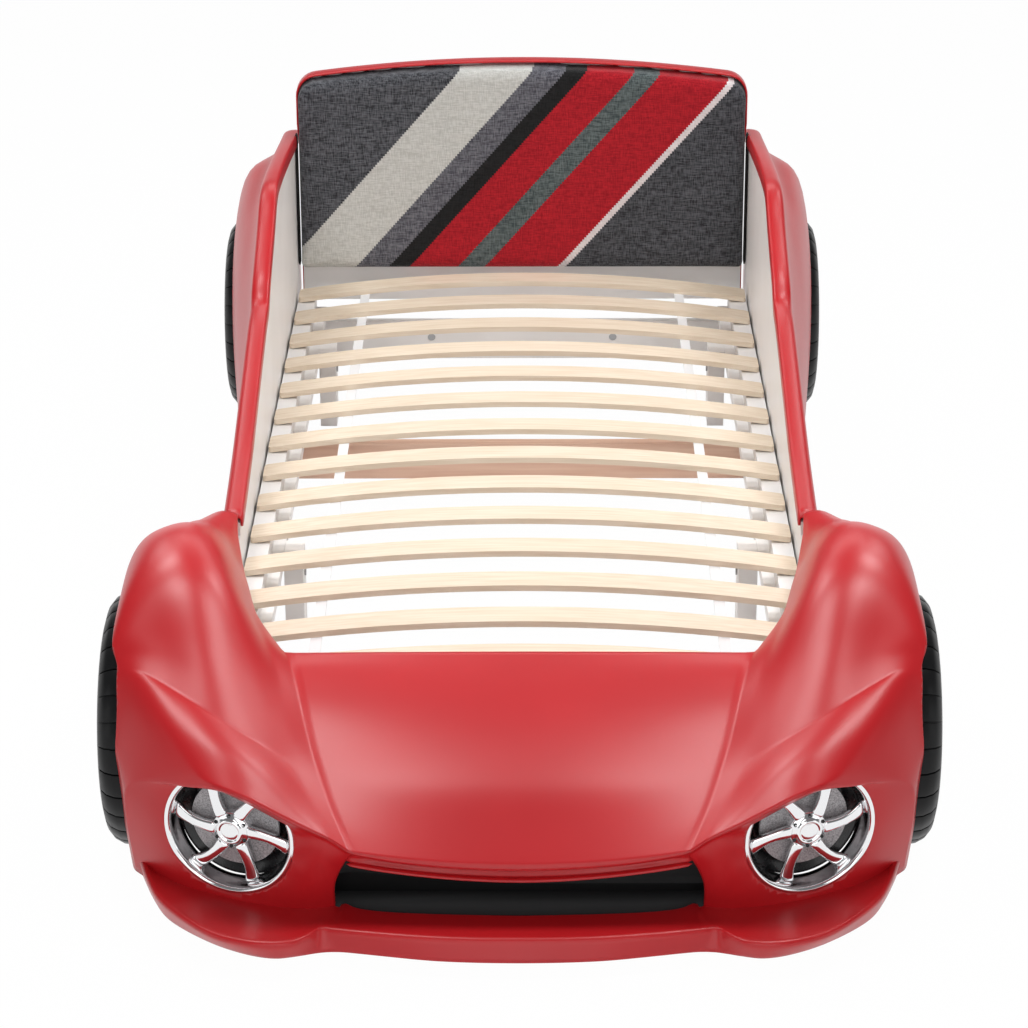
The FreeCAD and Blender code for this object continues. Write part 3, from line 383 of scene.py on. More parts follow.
# Each row from the joint forwards: the edge of the bed opening or the fold beside the hood,
# the facet ridge, the inner face, the crown, the outer face, the shoulder, the upper side,
# the widest line and the foot.
WING_ROWS = [
    planar(-0.270, (.459, .288), (.465, .2915), (.474, .2935), (.486, .294), (.498, .290),
           (.508, .281), (.5135, .255), (.515, .205), (.512, .02)),
    planar(-0.350, (.452, .291), (.460, .300), (.476, .309), (.495, .314), (.514, .311),
           (.529, .299), (.541, .272), (.543, .215), (.540, .02)),
    planar(-0.420, (.442, .292), (.452, .305), (.474, .326), (.500, .341), (.525, .336),
           (.546, .320), (.562, .287), (.566, .228), (.562, .02)),
    planar(-0.500, (.430, .291), (.441, .311), (.467, .359), (.499, .371), (.532, .364),
           (.557, .344), (.576, .308), (.581, .242), (.577, .02)),
    planar(-0.570, (.417, .295), (.428, .320), (.459, .383), (.496, .401), (.533, .395),
           (.563, .371), (.584, .328), (.591, .252), (.587, .02)),
    planar(-0.650, (.403, .299), (.411, .327), (.447, .405), (.489, .433), (.533, .427),
           (.568, .404), (.589, .352), (.597, .258), (.593, .02)),
    planar(-0.720, (.387, .303), (.401, .334), (.438, .419), (.482, .450), (.531, .445),
           (.569, .416), (.589, .362), (.597, .260), (.596, .02)),
    planar(-0.800, (.345, .299), (.386, .335), (.425, .413), (.474, .442), (.528, .439),
           (.570, .411), (.588, .358), (.596, .255), (.597, .02)),
    planar(-0.860, (.331, .297), (.367, .326), (.410, .387), (.465, .416), (.523, .414),
           (.572, .394), (.590, .347), (.595, .245), (.596, .02)),
    [Vector(p) for p in (
        (.315, -.930, .276), (.343, -.930, .296), (.395, -.930, .337), (.455, -.925, .368),
        (.516, -.914, .371), (.573, -.908, .367), (.596, -.918, .322), (.593, -.925, .235),
        (.570, -.925, .034))],
    [Vector(p) for p in (
        (.297, -1.000, .240), (.330, -1.000, .264), (.380, -.995, .297), (.442, -.975, .332),
        (.504, -.947, .347), (.566, -.930, .348), (.590, -.950, .300), (.588, -.962, .228),
        (.565, -.962, .036))],
    [Vector(p) for p in (
        (.278, -1.055, .214), (.322, -1.050, .238), (.372, -1.045, .269), (.432, -1.025, .299),
        (.493, -.987, .322), (.559, -.950, .336), (.584, -.974, .280), (.581, -.985, .215),
        (.5605, -.985, .036))],
    [Vector(p) for p in (
        (.268, -1.085, .199), (.308, -1.078, .222), (.362, -1.070, .261), (.420, -1.050, .291),
        (.480, -1.014, .313), (.546, -.972, .326), (.575, -.990, .260), (.575, -.997, .203),
        (.5585, -.992, .036))],
    [Vector(p) for p in (
        (.256, -1.118, .183), (.292, -1.108, .206), (.350, -1.110, .247), (.404, -1.098, .272),
        (.460, -1.070, .287), (.520, -1.028, .292), (.566, -1.008, .236), (.568, -1.012, .188),
        (.556, -.998, .036))],
    [Vector(p) for p in (
        (.234, -1.172, .158), (.2625, -1.172, .180), (.313, -1.164, .200), (.3635, -1.157, .2265),
        (.413, -1.143, .242), (.462, -1.115, .240), (.545, -1.052, .208), (.562, -1.032, .155),
        (.5535, -1.002, .036))],
]
CREASE_ROW, BROW_ROW = 11, 14
HOOD_START = 7
# the rear edge of the hood lies a little ahead of the wings beside it
WING_ROWS[HOOD_START][0] = Vector((.345, -.814, .297))
# Height and place of the hood's middle for each row from the bed opening forwards.
HOOD_MIDDLE = [(-.814, .299), (-.865, .290), (-.930, .276), (-1.000, .253), (-1.065, .224),
               (-1.096, .205), (-1.125, .183), (-1.182, .140)]
# The brow's underside, set back over the headlamp.
UNDER_BROW = [Vector((0, .010, -.008))] * 5 + [Vector((0, .002, -.012)), Vector(), Vector(),
                                               Vector()]
# Foot of the wall under the headlamp, from the mouth of the grille outwards.
WALL_FOOT = [(.258, -1.135), (.300, -1.128), (.351, -1.122), (.394, -1.113), (.4535, -1.088),
             (.496, -1.062), (.5535, -1.002)]
POST_EDGE = [(.236, -1.162, .150), (.244, -1.158, .128), (.258, -1.150, .090),
             (.259, -1.140, .050), (.258, -1.135, .02)]
# How far the wall curls back beside the mouth, for its first columns.
POST_CURL = [.016, .008, .003]
JOINT_TOP = 0.288
# Steps from one station of a row to the next; the stations of the crown and the shoulder.
STEPS, CROWN, SHOULDER = 3, 3, 5

rows_across = [smooth_through(row, STEPS, (1,)) for row in WING_ROWS]
under = [point + shift for point, shift in zip(WING_ROWS[-1], UNDER_BROW)]
columns = list(zip(*rows_across))
lengthwise = [smooth_through(list(column), 2, (CREASE_ROW,)) for column in columns]
grid = [list(row) for row in zip(*lengthwise)]
grid.append(smooth_through(under, STEPS, (1,)))
hood_start, crease_row, brow_row = HOOD_START * 2, CREASE_ROW * 2, BROW_ROW * 2
hood_middle = smooth_through([Vector((0, y, z)) for y, z in HOOD_MIDDLE], 2)

bm = creasable()
wing = [[bm.verts.new(point) for point in row] for row in grid]
join_rows(bm, wing)

# the hood, from its middle to the fold; its curve across is a flat arch
HOOD_STEPS = 6
hood = []
for offset, middle in enumerate(hood_middle):
    fold = wing[hood_start + offset][0]
    line = []
    for step in range(HOOD_STEPS):
        t = step / HOOD_STEPS
        rise = (middle.z - fold.co.z) * (1 - t ** 2)
        y = middle.y + (fold.co.y - middle.y) * t ** 2
        line.append(bm.verts.new((fold.co.x * t, y, fold.co.z + rise)))
    hood.append(line + [fold])
# under the front edge of the hood a lip turns back into a groove, and from there the surface comes
# down to the upper edge of the mouth; each is given by its shift from the edge
LIP_SHIFT, GROOVE_SHIFT = Vector((0, .004, -.007)), Vector((0, .036, -.013))
GROOVE_END_SHIFT = Vector((.0095, .020, -.014))
MOUTH_SHIFT, MOUTH_END_SHIFT = Vector((0, .032, -.034)), Vector((.0095, .022, -.025))
front_edge = hood[-1]
lip = [bm.verts.new(vertex.co + LIP_SHIFT) for vertex in front_edge[:-1]]
lip.append(wing[-1][0])
mouth_edge = [vertex.co + MOUTH_SHIFT.lerp(MOUTH_END_SHIFT, step / HOOD_STEPS)
              for step, vertex in enumerate(front_edge)]
groove = [bm.verts.new(vertex.co + GROOVE_SHIFT) for vertex in front_edge[:-1]]
groove.append(bm.verts.new(front_edge[-1].co + GROOVE_END_SHIFT))
lip_back = [bm.verts.new(point) for point in mouth_edge]
hood += [lip, groove, lip_back]
join_rows(bm, hood)

# flange round the bed opening
rim_line = hood[0][:-1] + [wing[row][0] for row in range(hood_start, -1, -1)]
flange = [bm.verts.new((vertex.co.x, vertex.co.y, FLANGE_BOTTOM)) for vertex in rim_line]
join_rows(bm, [rim_line, flange])

# flange at the joint with the side moulding
joint_edge = wing[0][CROWN * STEPS:]
joint = [bm.verts.new((JOINT_INNER, vertex.co.y, min(vertex.co.z, JOINT_TOP)))
         for vertex in joint_edge]
join_rows(bm, [joint_edge, joint])

# wall under the brow, with the headlamp; its sides are the post and the outer corner
shoulder = SHOULDER * STEPS
top = wing[-1][:shoulder + 1]
corner = wing[-1][shoulder:]
foot = smooth_through([Vector((x, y, SHELL_FOOT)) for x, y in WALL_FOOT], 4)
post = smooth_through([Vector(point) for point in POST_EDGE], 4)


def lengths_along(line):
    """How far along a line each of its points lies."""
    lengths = [0]
    for a, b in zip(line, line[1:]):
        lengths.append(lengths[-1] + (b - a).length)
    return lengths


def along(line, share):
    """A point at a share of a line's length, between its own points."""
    lengths = lengths_along(line)
    goal = share * lengths[-1]
    for index in range(len(line) - 1):
        if goal <= lengths[index + 1] or index == len(line) - 2:
            part = (goal - lengths[index]) / (lengths[index + 1] - lengths[index])
            return line[index].lerp(line[index + 1], part)


def shares_of(line):
    """How far along a line each of its points lies, as a share of the whole."""
    lengths = lengths_along(line)
    return [length / lengths[-1] for length in lengths]


LAMP_PLACE, LAMP_AXIS, LAMP_RADIUS = (.4075, -1.109, .1555), (.308, -.950, -.048), 0.1000
LAMP_SEAT, SEAT_MARGIN, SEAT_RISE = 0.003, 0.004, 0.8


def behind_lamp(point):
    """Hold a point of the wall behind the headlamp's ring, and let it come forward round it."""
    axis = Vector(LAMP_AXIS).normalized()
    offset = point - Vector(LAMP_PLACE)
    ahead = offset.dot(axis)
    from_axis = (offset - axis * ahead).length
    room = SEAT_RISE * max(0, from_axis - LAMP_RADIUS - SEAT_MARGIN) - LAMP_SEAT
    return point - axis * max(0, ahead - room)


top_co, corner_co = [v.co.copy() for v in top], [v.co.copy() for v in corner]
across_share, down_share = shares_of(top_co), shares_of(corner_co)
wall = [top]
for down in range(1, len(corner)):
    t = down_share[down]
    row = []
    for column in range(len(top) - 1):
        s = across_share[column]
        blend_sides = along(post, t).lerp(corner_co[down], s)
        blend_ends = top_co[column].lerp(along(foot, s), t)
        blend_corners = (top_co[0].lerp(top_co[-1], s)).lerp(foot[0].lerp(foot[-1], s), t)
        point = behind_lamp(blend_sides + blend_ends - blend_corners)
        point.y += POST_CURL[column] * min(1, 4 * t) if column < len(POST_CURL) else 0
        row.append(bm.verts.new(point))
    wall.append(row + [corner[down]])
join_rows(bm, wall)

# how sharp each edge of the moulding is, from 0 to 1; the fold and the brow fade out at the side
FOLD_SHARP, OPENING_SHARP, JOINT_SHARP, CREASE_SHARP = 0.80, 0.75, 0.8, 0.95
BROW_SHARP, UNDER_BROW_SHARP, FRONT_EDGE_SHARP, LIP_SHARP = 0.9, 0.5, 0.8, 0.6
sharpen(bm, [row[0] for row in wing[hood_start:brow_row + 1]], FOLD_SHARP)
sharpen(bm, rim_line, OPENING_SHARP)
sharpen(bm, joint_edge, JOINT_SHARP)
for column in range(STEPS, shoulder + 1):
    fade = min(1, (shoulder - column + 1.5) / 2) * min(1, (column - STEPS + 1) / 2)
    sharpen(bm, wing[crease_row][column:column + 2], CREASE_SHARP * fade)
for column in range(shoulder):
    fade = min(1, (shoulder - column) / 5)
    sharpen(bm, wing[brow_row][column:column + 2], BROW_SHARP * fade)
    sharpen(bm, wing[-1][column:column + 2], UNDER_BROW_SHARP * fade)
sharpen(bm, front_edge, FRONT_EDGE_SHARP)
sharpen(bm, lip, LIP_SHARP)
front_shell = add_mesh("front_moulding", bm, red)
other_half(front_shell)
round_off(front_shell, 2)
thicken(front_shell, SHELL_WALL, -1)
apply_modifiers(front_shell)

WHEEL_RADIUS, WHEEL_HEIGHT, FRONT_WHEEL_Y, REAR_WHEEL_Y = 0.1875, 0.1895, -0.812, 1.000
ARCH_RADIUS, BOWL_ROUND, OUTSIDE, ROUND_STEPS = WHEEL_RADIUS + 0.005, 0.004, 0.8, 96
FRONT_BOWL_X, REAR_BOWL_X = 0.5137, 0.4877


def cutter(name, radius, start, end):
    """A closed round bar between two points, for cutting a moulding."""
    bm = bmesh.new()
    bmesh.ops.create_cone(bm, cap_ends=True, segments=ROUND_STEPS, radius1=radius,
                          radius2=radius, depth=(end - start).length)
    turn = (end - start).to_track_quat("Z", "Y").to_matrix().to_4x4()
    bm.transform(Matrix.Translation((start + end) / 2) @ turn)
    bm.normal_update()
    return add_mesh(name, bm, red)


def arch_bar(sign, wheel_y, bowl_x):
    """A bar that cuts the arch for a wheel, from the wall of its bowl outwards."""
    start = on_side(sign, (bowl_x + BOWL_ROUND, wheel_y, WHEEL_HEIGHT))
    return cutter("arch_cut", ARCH_RADIUS, start, on_side(sign, (OUTSIDE, wheel_y, WHEEL_HEIGHT)))


def lamp_frame(sign):
    """The middle of a headlamp's face and the way it looks."""
    return on_side(sign, LAMP_PLACE), on_side(sign, LAMP_AXIS).normalized()


def cut_away(piece, bars):
    """Cut round bars out of a moulding."""
    for bar in bars:
        cut = piece.modifiers.new("cut", "BOOLEAN")
        cut.object, cut.solver = bar, "MANIFOLD"
        apply_modifiers(piece)
        bpy.data.objects.remove(bar)


def skin_finder(piece):
    """A function that tells how far out a moulding's skin lies at a place and height."""
    tree = BVHTree.FromPolygons([vertex.co for vertex in piece.data.vertices],
                                [polygon.vertices for polygon in piece.data.polygons])

    def skin(y, z):
        hit = tree.ray_cast(Vector((OUTSIDE, y, z)), Vector((-1, 0, 0)))[0]
        return hit.x if hit else None

    return skin


front_skin = skin_finder(front_shell)
LAMP_HOLE, HOLE_BACK, HOLE_FRONT = LAMP_RADIUS - 0.002, 0.014, 0.005
bars = []
for sign, side in SIDES:
    bars.append(arch_bar(sign, FRONT_WHEEL_Y, FRONT_BOWL_X))
    place, axis = lamp_frame(sign)
    bars.append(cutter("lamp_cut", LAMP_HOLE, place - axis * HOLE_BACK, place + axis * HOLE_FRONT))
cut_away(front_shell, bars)
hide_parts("front_shell")
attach(front_shell, "root")

# --- Front lip ----------------------------------------------------------------------------
# The foot of the front moulding runs out into a lip with a lobe under each headlamp. Its top
# is slightly dished and its edge is rounded.

LIP_TOP, LIP_ROUND, LIP_FOOT_UP, LIP_FOOT_IN, LIP_EDGE_SHARP = 0.055, 0.007, 0.003, 0.004, 0.9
# The lip rises outwards from one place, and from another its dish is deeper.
RISE_START, RISE_LENGTH, LIP_RISE = 0.42, 0.14, 0.012
DISH_START, SHALLOW_DISH, DEEP_DISH = 0.26, 0.002, 0.007
# Three lines across one half, as (x, y): the upper edge, the lower edge and the inner side.
LIP_OUTLINE = [(0, -1.229), (.060, -1.2285), (.120, -1.224), (.180, -1.216), (.225, -1.208),
               (.255, -1.202), (.276, -1.199), (.290, -1.216), (.312, -1.234), (.345, -1.2385),
               (.385, -1.231), (.441, -1.203), (.504, -1.133), (.530, -1.075), (.549, -1.010),
               (.564, -.960)]
LIP_FOOT = [(0, -1.2385), (.060, -1.237), (.120, -1.232), (.180, -1.221), (.225, -1.212),
            (.250, -1.208), (.272, -1.209), (.290, -1.214), (.312, -1.221), (.340, -1.226),
            (.380, -1.214), (.432, -1.182), (.492, -1.124), (.520, -1.068), (.541, -1.008),
            (.556, -.958)]
LIP_INNER = [(0, -1.160), (.060, -1.158), (.120, -1.155), (.180, -1.150), (.225, -1.140),
             (.245, -1.124), (.262, -1.114), (.285, -1.116), (.305, -1.122), (.330, -1.119),
             (.365, -1.112), (.420, -1.091), (.478, -1.058), (.510, -1.032), (.536, -.998),
             (.551, -.960)]
outline, foot_edge, inner_line = (smooth_through([Vector((x, y, 0)) for x, y in line], 3)
                                  for line in (LIP_OUTLINE, LIP_FOOT, LIP_INNER))
bm = creasable()
sections = []
for outer, low_edge, inner in zip(outline, foot_edge, inner_line):
    inwards = (inner - outer).normalized()
    dish = DEEP_DISH if outer.x > DISH_START else SHALLOW_DISH
    height = LIP_TOP + LIP_RISE * max(0, (outer.x - RISE_START) / RISE_LENGTH)
    profile = [(inner, height - dish), (outer.lerp(inner, 0.5), height - dish * 0.8),
               (outer + inwards * LIP_ROUND * 2, height - 0.001),
               (outer + inwards * LIP_ROUND * 0.8, height),
               (outer + inwards * LIP_ROUND * 0.1, height - LIP_ROUND * 0.7),
               (outer.lerp(low_edge, 0.15), height - LIP_ROUND * 1.6),
               (low_edge, SHELL_FOOT + LIP_FOOT_UP), (low_edge + inwards * LIP_FOOT_IN, SHELL_FOOT),
               (inner, SHELL_FOOT)]
    sections.append([bm.verts.new((point.x, point.y, z)) for point, z in profile])
join_rows(bm, sections)
# the seventh point of every section lies on the lower edge
sharpen(bm, [section[6] for section in sections], LIP_EDGE_SHARP)
front_lip = add_mesh("front_lip", bm, red)
other_half(front_lip)
round_off(front_lip, 2)
apply_modifiers(front_lip)
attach(front_lip, "root")

# --- Side mouldings -----------------------------------------------------------------------
# Each side is one red moulding: a rail that caps the white panel's edge, a valley, the plain
# side and the rear wing over its wheel.

PANEL_INNER, RAIL_INNER, RAIL_WIDTH, RAIL_LIP = 0.4555, 0.4512, 0.034, 0.024
SIDE_WALL, SIDE_STEPS, REAR_INNER, REAR_DROP, REAR_SHARP = 0.0035, 4, 0.4785, 0.03, 0.8
# Each row: place along the bed, height of the rail, then (distance out from the panel, Z) of
# the valley beside the rail, the crown of the rear wing, its widest line and its foot.
SIDE_ROWS = [
    (-.2697, .284, (.031, .250), (.033, .225), (.034, .150), (.032, .02)),
    (-.060, .322, (.031, .280), (.033, .235), (.035, .130), (.033, .02)),
    (.150, .378, (.031, .330), (.034, .250), (.037, .140), (.034, .02)),
    (.300, .418, (.031, .366), (.035, .275), (.039, .150), (.036, .02)),
    (.375, .432, (.031, .382), (.036, .285), (.041, .155), (.037, .02)),
    (.425, .466, (.032, .400), (.037, .300), (.043, .165), (.039, .02)),
    (.550, .518, (.033, .462), (.046, .355), (.064, .190), (.059, .02)),
    (.640, .560, (.035, .490), (.059, .392), (.080, .205), (.075, .02)),
    (.730, .560, (.037, .500), (.074, .426), (.094, .232), (.089, .02)),
    (.850, .549, (.040, .497), (.087, .448), (.109, .255), (.103, .02)),
    (1.000, .531, (.042, .485), (.094, .450), (.119, .262), (.113, .02)),
    (1.120, .515, (.043, .472), (.096, .440), (.121, .262), (.115, .02)),
    (1.240, .500, (.042, .452), (.088, .410), (.105, .235), (.100, .02)),
]
# Cross-section of the rail, from its lip over the panel to its outer edge: (out, up).
RAIL_SHAPE = [(0, -RAIL_LIP), (0, -.012), (0, -.005), (.0025, -.0015), (.009, -.0002),
              (.020, -.001), (.029, -.005), (.033, -.011), (RAIL_WIDTH, -.018)]
rail_tops = smooth_through([Vector((0, row[0], row[1])) for row in SIDE_ROWS], SIDE_STEPS)
side_lines = [smooth_through([Vector((PANEL_INNER + row[key][0], row[0], row[key][1]))
                              for row in SIDE_ROWS], SIDE_STEPS) for key in range(2, 6)]
bm = creasable()
side_grid = []
for rail_top, *side_points in zip(rail_tops, *side_lines):
    rail = [Vector((RAIL_INNER + out, side_points[0].y, rail_top.z + up)) for out, up in RAIL_SHAPE]
    drop = smooth_through([rail[-1], *side_points], 3)
    side_grid.append([bm.verts.new(point) for point in rail + drop[1:]])
join_rows(bm, side_grid)
# closed rear end
rear = side_grid[-1][4:]
rear_inner = [bm.verts.new((REAR_INNER, vertex.co.y, min(vertex.co.z, rail_tops[-1].z - REAR_DROP)))
              for vertex in rear]
join_rows(bm, [rear, rear_inner])
sharpen(bm, rear, REAR_SHARP)
half_side = add_mesh("side_moulding_right", bm, red)
round_off(half_side, 1)
thicken(half_side, SIDE_WALL, -1)
apply_modifiers(half_side)
side_skin = skin_finder(half_side)
cut_away(half_side, [arch_bar(1, REAR_WHEEL_Y, REAR_BOWL_X)])


def mirrored_copy(piece, name):
    """The same piece for the other side of the bed, as a mesh of its own."""
    mesh = piece.data.copy()
    mesh.transform(Matrix.Scale(-1, 4, (1, 0, 0)))
    mesh.flip_normals()
    twin = bpy.data.objects.new(name, mesh)
    bpy.context.scene.collection.objects.link(twin)
    return twin


for side_piece, node in ((half_side, "side_shell_right"),
                         (mirrored_copy(half_side, "side_moulding_left"), "side_shell_left")):
    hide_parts(node)
    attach(side_piece, "root")

# --- Wheel bowls --------------------------------------------------------------------------
# Each arch ends in a round red bowl, part of the moulding, to which its wheel is screwed. Its
# edge follows the skin of the moulding round the arch.

BOWL_WALL, SKIN_INSET, SKIN_MARGIN, LOST_REACH = 0.0016, 0.002, 0.002, 0.02
for end, wheel_y, inner_x, skin in (("front", FRONT_WHEEL_Y, FRONT_BOWL_X, front_skin),
                                    ("rear", REAR_WHEEL_Y, REAR_BOWL_X, side_skin)):
    # rings from the middle of the bowl to its edge, the last one at the skin: (radius, place)
    bowl_shape = [(0.02, inner_x), (0.10, inner_x), (ARCH_RADIUS - BOWL_ROUND, inner_x),
                  (ARCH_RADIUS + 0.001, inner_x + BOWL_ROUND), (ARCH_RADIUS + 0.001, None)]
    for sign, side in SIDES:
        bm = bmesh.new()
        rings = []
        for radius, x in bowl_shape:
            ring = []
            for number in range(ROUND_STEPS):
                angle = 2 * math.pi * number / ROUND_STEPS
                y = wheel_y + radius * math.cos(angle)
                z = WHEEL_HEIGHT + radius * math.sin(angle)
                if x == inner_x:
                    z = max(z, SHELL_FOOT)
                edge = x or ((skin(y, max(z, SHELL_FOOT + SKIN_MARGIN)) or inner_x + LOST_REACH)
                             - SKIN_INSET)
                ring.append(bm.verts.new((sign * edge, y, z)))
            rings.append(ring)
        join_rows(bm, rings, closed=True)
        bm.faces.new(rings[0])
        # below the foot of the moulding the bowl is open
        low = [vertex for vertex in bm.verts if vertex.co.z < SHELL_FOOT - 0.0001]
        bmesh.ops.delete(bm, geom=low, context="VERTS")
        bowl = add_mesh(f"bowl_{end}_{side}", bm, red)
        thicken(bowl, BOWL_WALL)
        apply_modifiers(bowl)
        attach(bowl, "root")

# --- Grille -------------------------------------------------------------------------------
# A black pocket lies behind the mouth under the hood, and a thin red blade runs along the
# mouth's upper edge.

# matt black is the pocket's own colour; further on it also paints the shade in the gaps beside the
# pad
matt_black = surface("matt_black", (0.012, 0.012, 0.013), 0.7)
bump(matt_black, noise(matt_black, 300, 2), 0.0002)
POCKET_FRONT, POCKET_SIDES, POCKET_BACK, POCKET_FLOOR = -1.138, -1.122, -1.080, 0.048
POCKET_WALL, POCKET_SHRINK, POCKET_UP, POST_INNER = 0.002, 0.004, 0.003, 0.245
SILL_HALF, SILL_PLACE, BLADE_DOWN = 0.222, -1.150, 0.0015
POCKET_LINE = [(.262, POCKET_FLOOR), (.262, .080), (.256, .112), (.250, .1325), (.244, .139)]
pocket_half = [Vector((x, 0, z)) for x, z in POCKET_LINE]
pocket_half += [Vector((edge.x, 0, edge.z + POCKET_UP)) for edge in reversed(mouth_edge[:-1])]
pocket_line = pocket_half + [Vector((-point.x, 0, point.z))
                             for point in reversed(pocket_half[:-1])]
bm = bmesh.new()
rows = []
for y, shrink in ((POCKET_FRONT, 0), (POCKET_BACK, 0), (POCKET_BACK, POCKET_SHRINK)):
    # its sides begin behind the posts of the mouth
    rows.append([bm.verts.new((point.x * (1 - shrink),
                               max(y, POCKET_SIDES) if abs(point.x) > POST_INNER else y,
                               point.z - shrink)) for point in pocket_line])
join_rows(bm, rows, closed=True)
bm.faces.new(rows[-1])
sill = [bm.verts.new((x, SILL_PLACE, POCKET_FLOOR)) for x in (-SILL_HALF, SILL_HALF)]
bm.faces.new((sill[0], sill[1], rows[0][0], rows[0][-1]))
pocket = add_mesh("grille_pocket", bm, matt_black)
thicken(pocket, POCKET_WALL)
apply_modifiers(pocket)
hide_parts("grille_liner")
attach(pocket, "root")

BLADE_SHAPE = [(.004, .0035), (-.003, .0035), (-.0065, .001), (-.0065, -.002), (-.003, -.003),
               (.004, -.003)]
blade_line = [Vector((-edge.x, edge.y, edge.z)) for edge in reversed(mouth_edge[1:])]
blade_line += mouth_edge
bm = bmesh.new()
body_of_rings(bm, [[bm.verts.new((point.x, point.y + back, point.z - BLADE_DOWN + up))
                    for back, up in BLADE_SHAPE] for point in blade_line])
blade = add_mesh("mouth_blade", bm, red)
round_off(blade, 1)
apply_modifiers(blade)
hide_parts("grille_blade")
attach(blade, "root")

# --- Headlamps ----------------------------------------------------------------------------
# Each headlamp is a chrome-plated plastic ring with six curved spokes, like a small wheel,
# over a grey disc in a black bucket. Screws between the spokes hold it.

chrome = surface("chrome_plating", (0.86, 0.86, 0.87), 0.10, metallic=1.0)
vary(chrome, "Roughness", noise(chrome, 90, 3), 0.07, 0.15)
grey_disc = surface("grey_disc", (0.22, 0.215, 0.22), 0.5, metallic=0.3)
vary(grey_disc, "Base Color", noise(grey_disc, 520, 2), (0.20, 0.19, 0.195), (0.52, 0.50, 0.51))
gloss_black = surface("gloss_black", (0.01, 0.01, 0.011), 0.25)
vary(gloss_black, "Roughness", noise(gloss_black, 120, 2), 0.2, 0.35)
LAMP_SPOKES, SPOKE_SWEEP, FIRST_SPOKE = 6, math.radians(14), math.radians(-1)
RING_TURNS, HUB_TURNS, SCREW_TURNS, SPOKE_STATIONS = 96, 48, 12, 9
# Cross-section of the ring, as (distance in from its edge, depth): a rounded lip, then the
# barrel.
RING_SHAPE = [(.0110, .028), (.0020, .012), (.0005, .006), (.0010, .0025), (.0030, .0003),
              (.0058, -.0006), (.0086, .0006), (.0104, .0036), (.0112, .0075), (.0125, .014),
              (.0150, .020), (.0165, .0235), (.0170, .028)]
# Cross-sections of the hub and of a screw, as (radius, depth).
HUB_SHAPE = [(0.0, .0030), (.0115, .0033), (.0126, .0046), (.0140, .0046), (.0150, .0028),
             (.0168, .0022), (.0192, .0032), (.0203, .0060), (.0262, .0085), (.0285, .0105),
             (.0290, .0170), (.0290, .024)]
SCREW_SHAPE = [(.0026, .0095), (.0026, .0062), (.00182, .0055), (.00169, .0075)]
# Cross-section of a spoke, as (share of its half width, depth below its top).
SPOKE_SHAPE = [(-1, .013), (-1, .0022), (-.72, .0004), (0, -.0006), (.72, .0004), (1, .0022),
               (1, .013)]
HUB_EDGE, RIM_EDGE, SCREW_CIRCLE = 0.0235, LAMP_RADIUS - 0.0125, 0.0240


def lamp_placer(sign):
    """A function that gives a point of a headlamp for a radius, an angle and a depth."""
    centre, axis = lamp_frame(sign)
    level = Vector((0, 0, 1)).cross(axis).normalized() * sign
    upright = axis.cross(level) * sign

    def place(radius, angle, depth):
        flat = level * math.cos(angle) + upright * math.sin(angle)
        return centre + flat * radius - axis * depth

    return place


def lathe(bm, shape, turns, place, aside=Vector()):
    """Turn a cross-section round an axis, which may stand aside; return its rings."""
    rings = [[bm.verts.new(place(radius, 2 * math.pi * turn / turns, depth) + aside)
              for turn in range(turns)] for radius, depth in shape]
    join_rows(bm, rings, closed=True)
    return rings


def sweep_spoke(bm, start_angle, place):
    """One curved spoke: level at the hub, deeper and a little wider where it meets the barrel."""
    sections = []
    for station in range(SPOKE_STATIONS):
        share = station / (SPOKE_STATIONS - 1)
        radius = HUB_EDGE + (RIM_EDGE - HUB_EDGE) * share
        angle = start_angle + SPOKE_SWEEP * share ** 1.2
        half = 0.0094 + 0.0012 * math.cos(share * 2 * math.pi) + 0.0018 * share ** 4
        top = 0.0066 + 0.0052 * share ** 1.6
        sections.append([bm.verts.new(place(radius, angle + across * half / radius, top + down))
                         for across, down in SPOKE_SHAPE])
    body_of_rings(bm, sections)


for sign, side in SIDES:
    place = lamp_placer(sign)
    spoke_angles = [FIRST_SPOKE + 2 * math.pi * number / LAMP_SPOKES
                    for number in range(LAMP_SPOKES)]
    bm = bmesh.new()
    ring_line = [(LAMP_RADIUS - inwards, depth) for inwards, depth in RING_SHAPE]
    lathe(bm, ring_line, RING_TURNS, place)
    bm.faces.new(lathe(bm, HUB_SHAPE, HUB_TURNS, place)[0])
    for angle in spoke_angles:
        sweep_spoke(bm, angle, place)
    rim = add_mesh(f"lamp_wheel_{side}", bm, chrome)
    round_off(rim, 1)
    apply_modifiers(rim)
    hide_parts(f"lamp_rim_{side}", f"lamp_cap_{side}")
    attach(rim, "root")

    bm = bmesh.new()
    for angle in spoke_angles:
        half_way = angle + math.pi / LAMP_SPOKES
        aside = place(SCREW_CIRCLE, half_way, 0) - place(0, 0, 0)
        bm.faces.new(lathe(bm, SCREW_SHAPE, SCREW_TURNS, place, aside)[-1])
    screws = add_mesh(f"lamp_screws_{side}", bm, gloss_black)
    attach(screws, "root")
    dress(grey_disc, f"lamp_disc_{side}")
    dress(gloss_black, f"lamp_bucket_{side}")

# --- Wheels -------------------------------------------------------------------------------
# Four decorative wheels of moulded plastic: a glossy black tyre with grooves across its tread,
# a silver rim with six curved spokes and a bare centre cap. Each is screwed to its bowl.

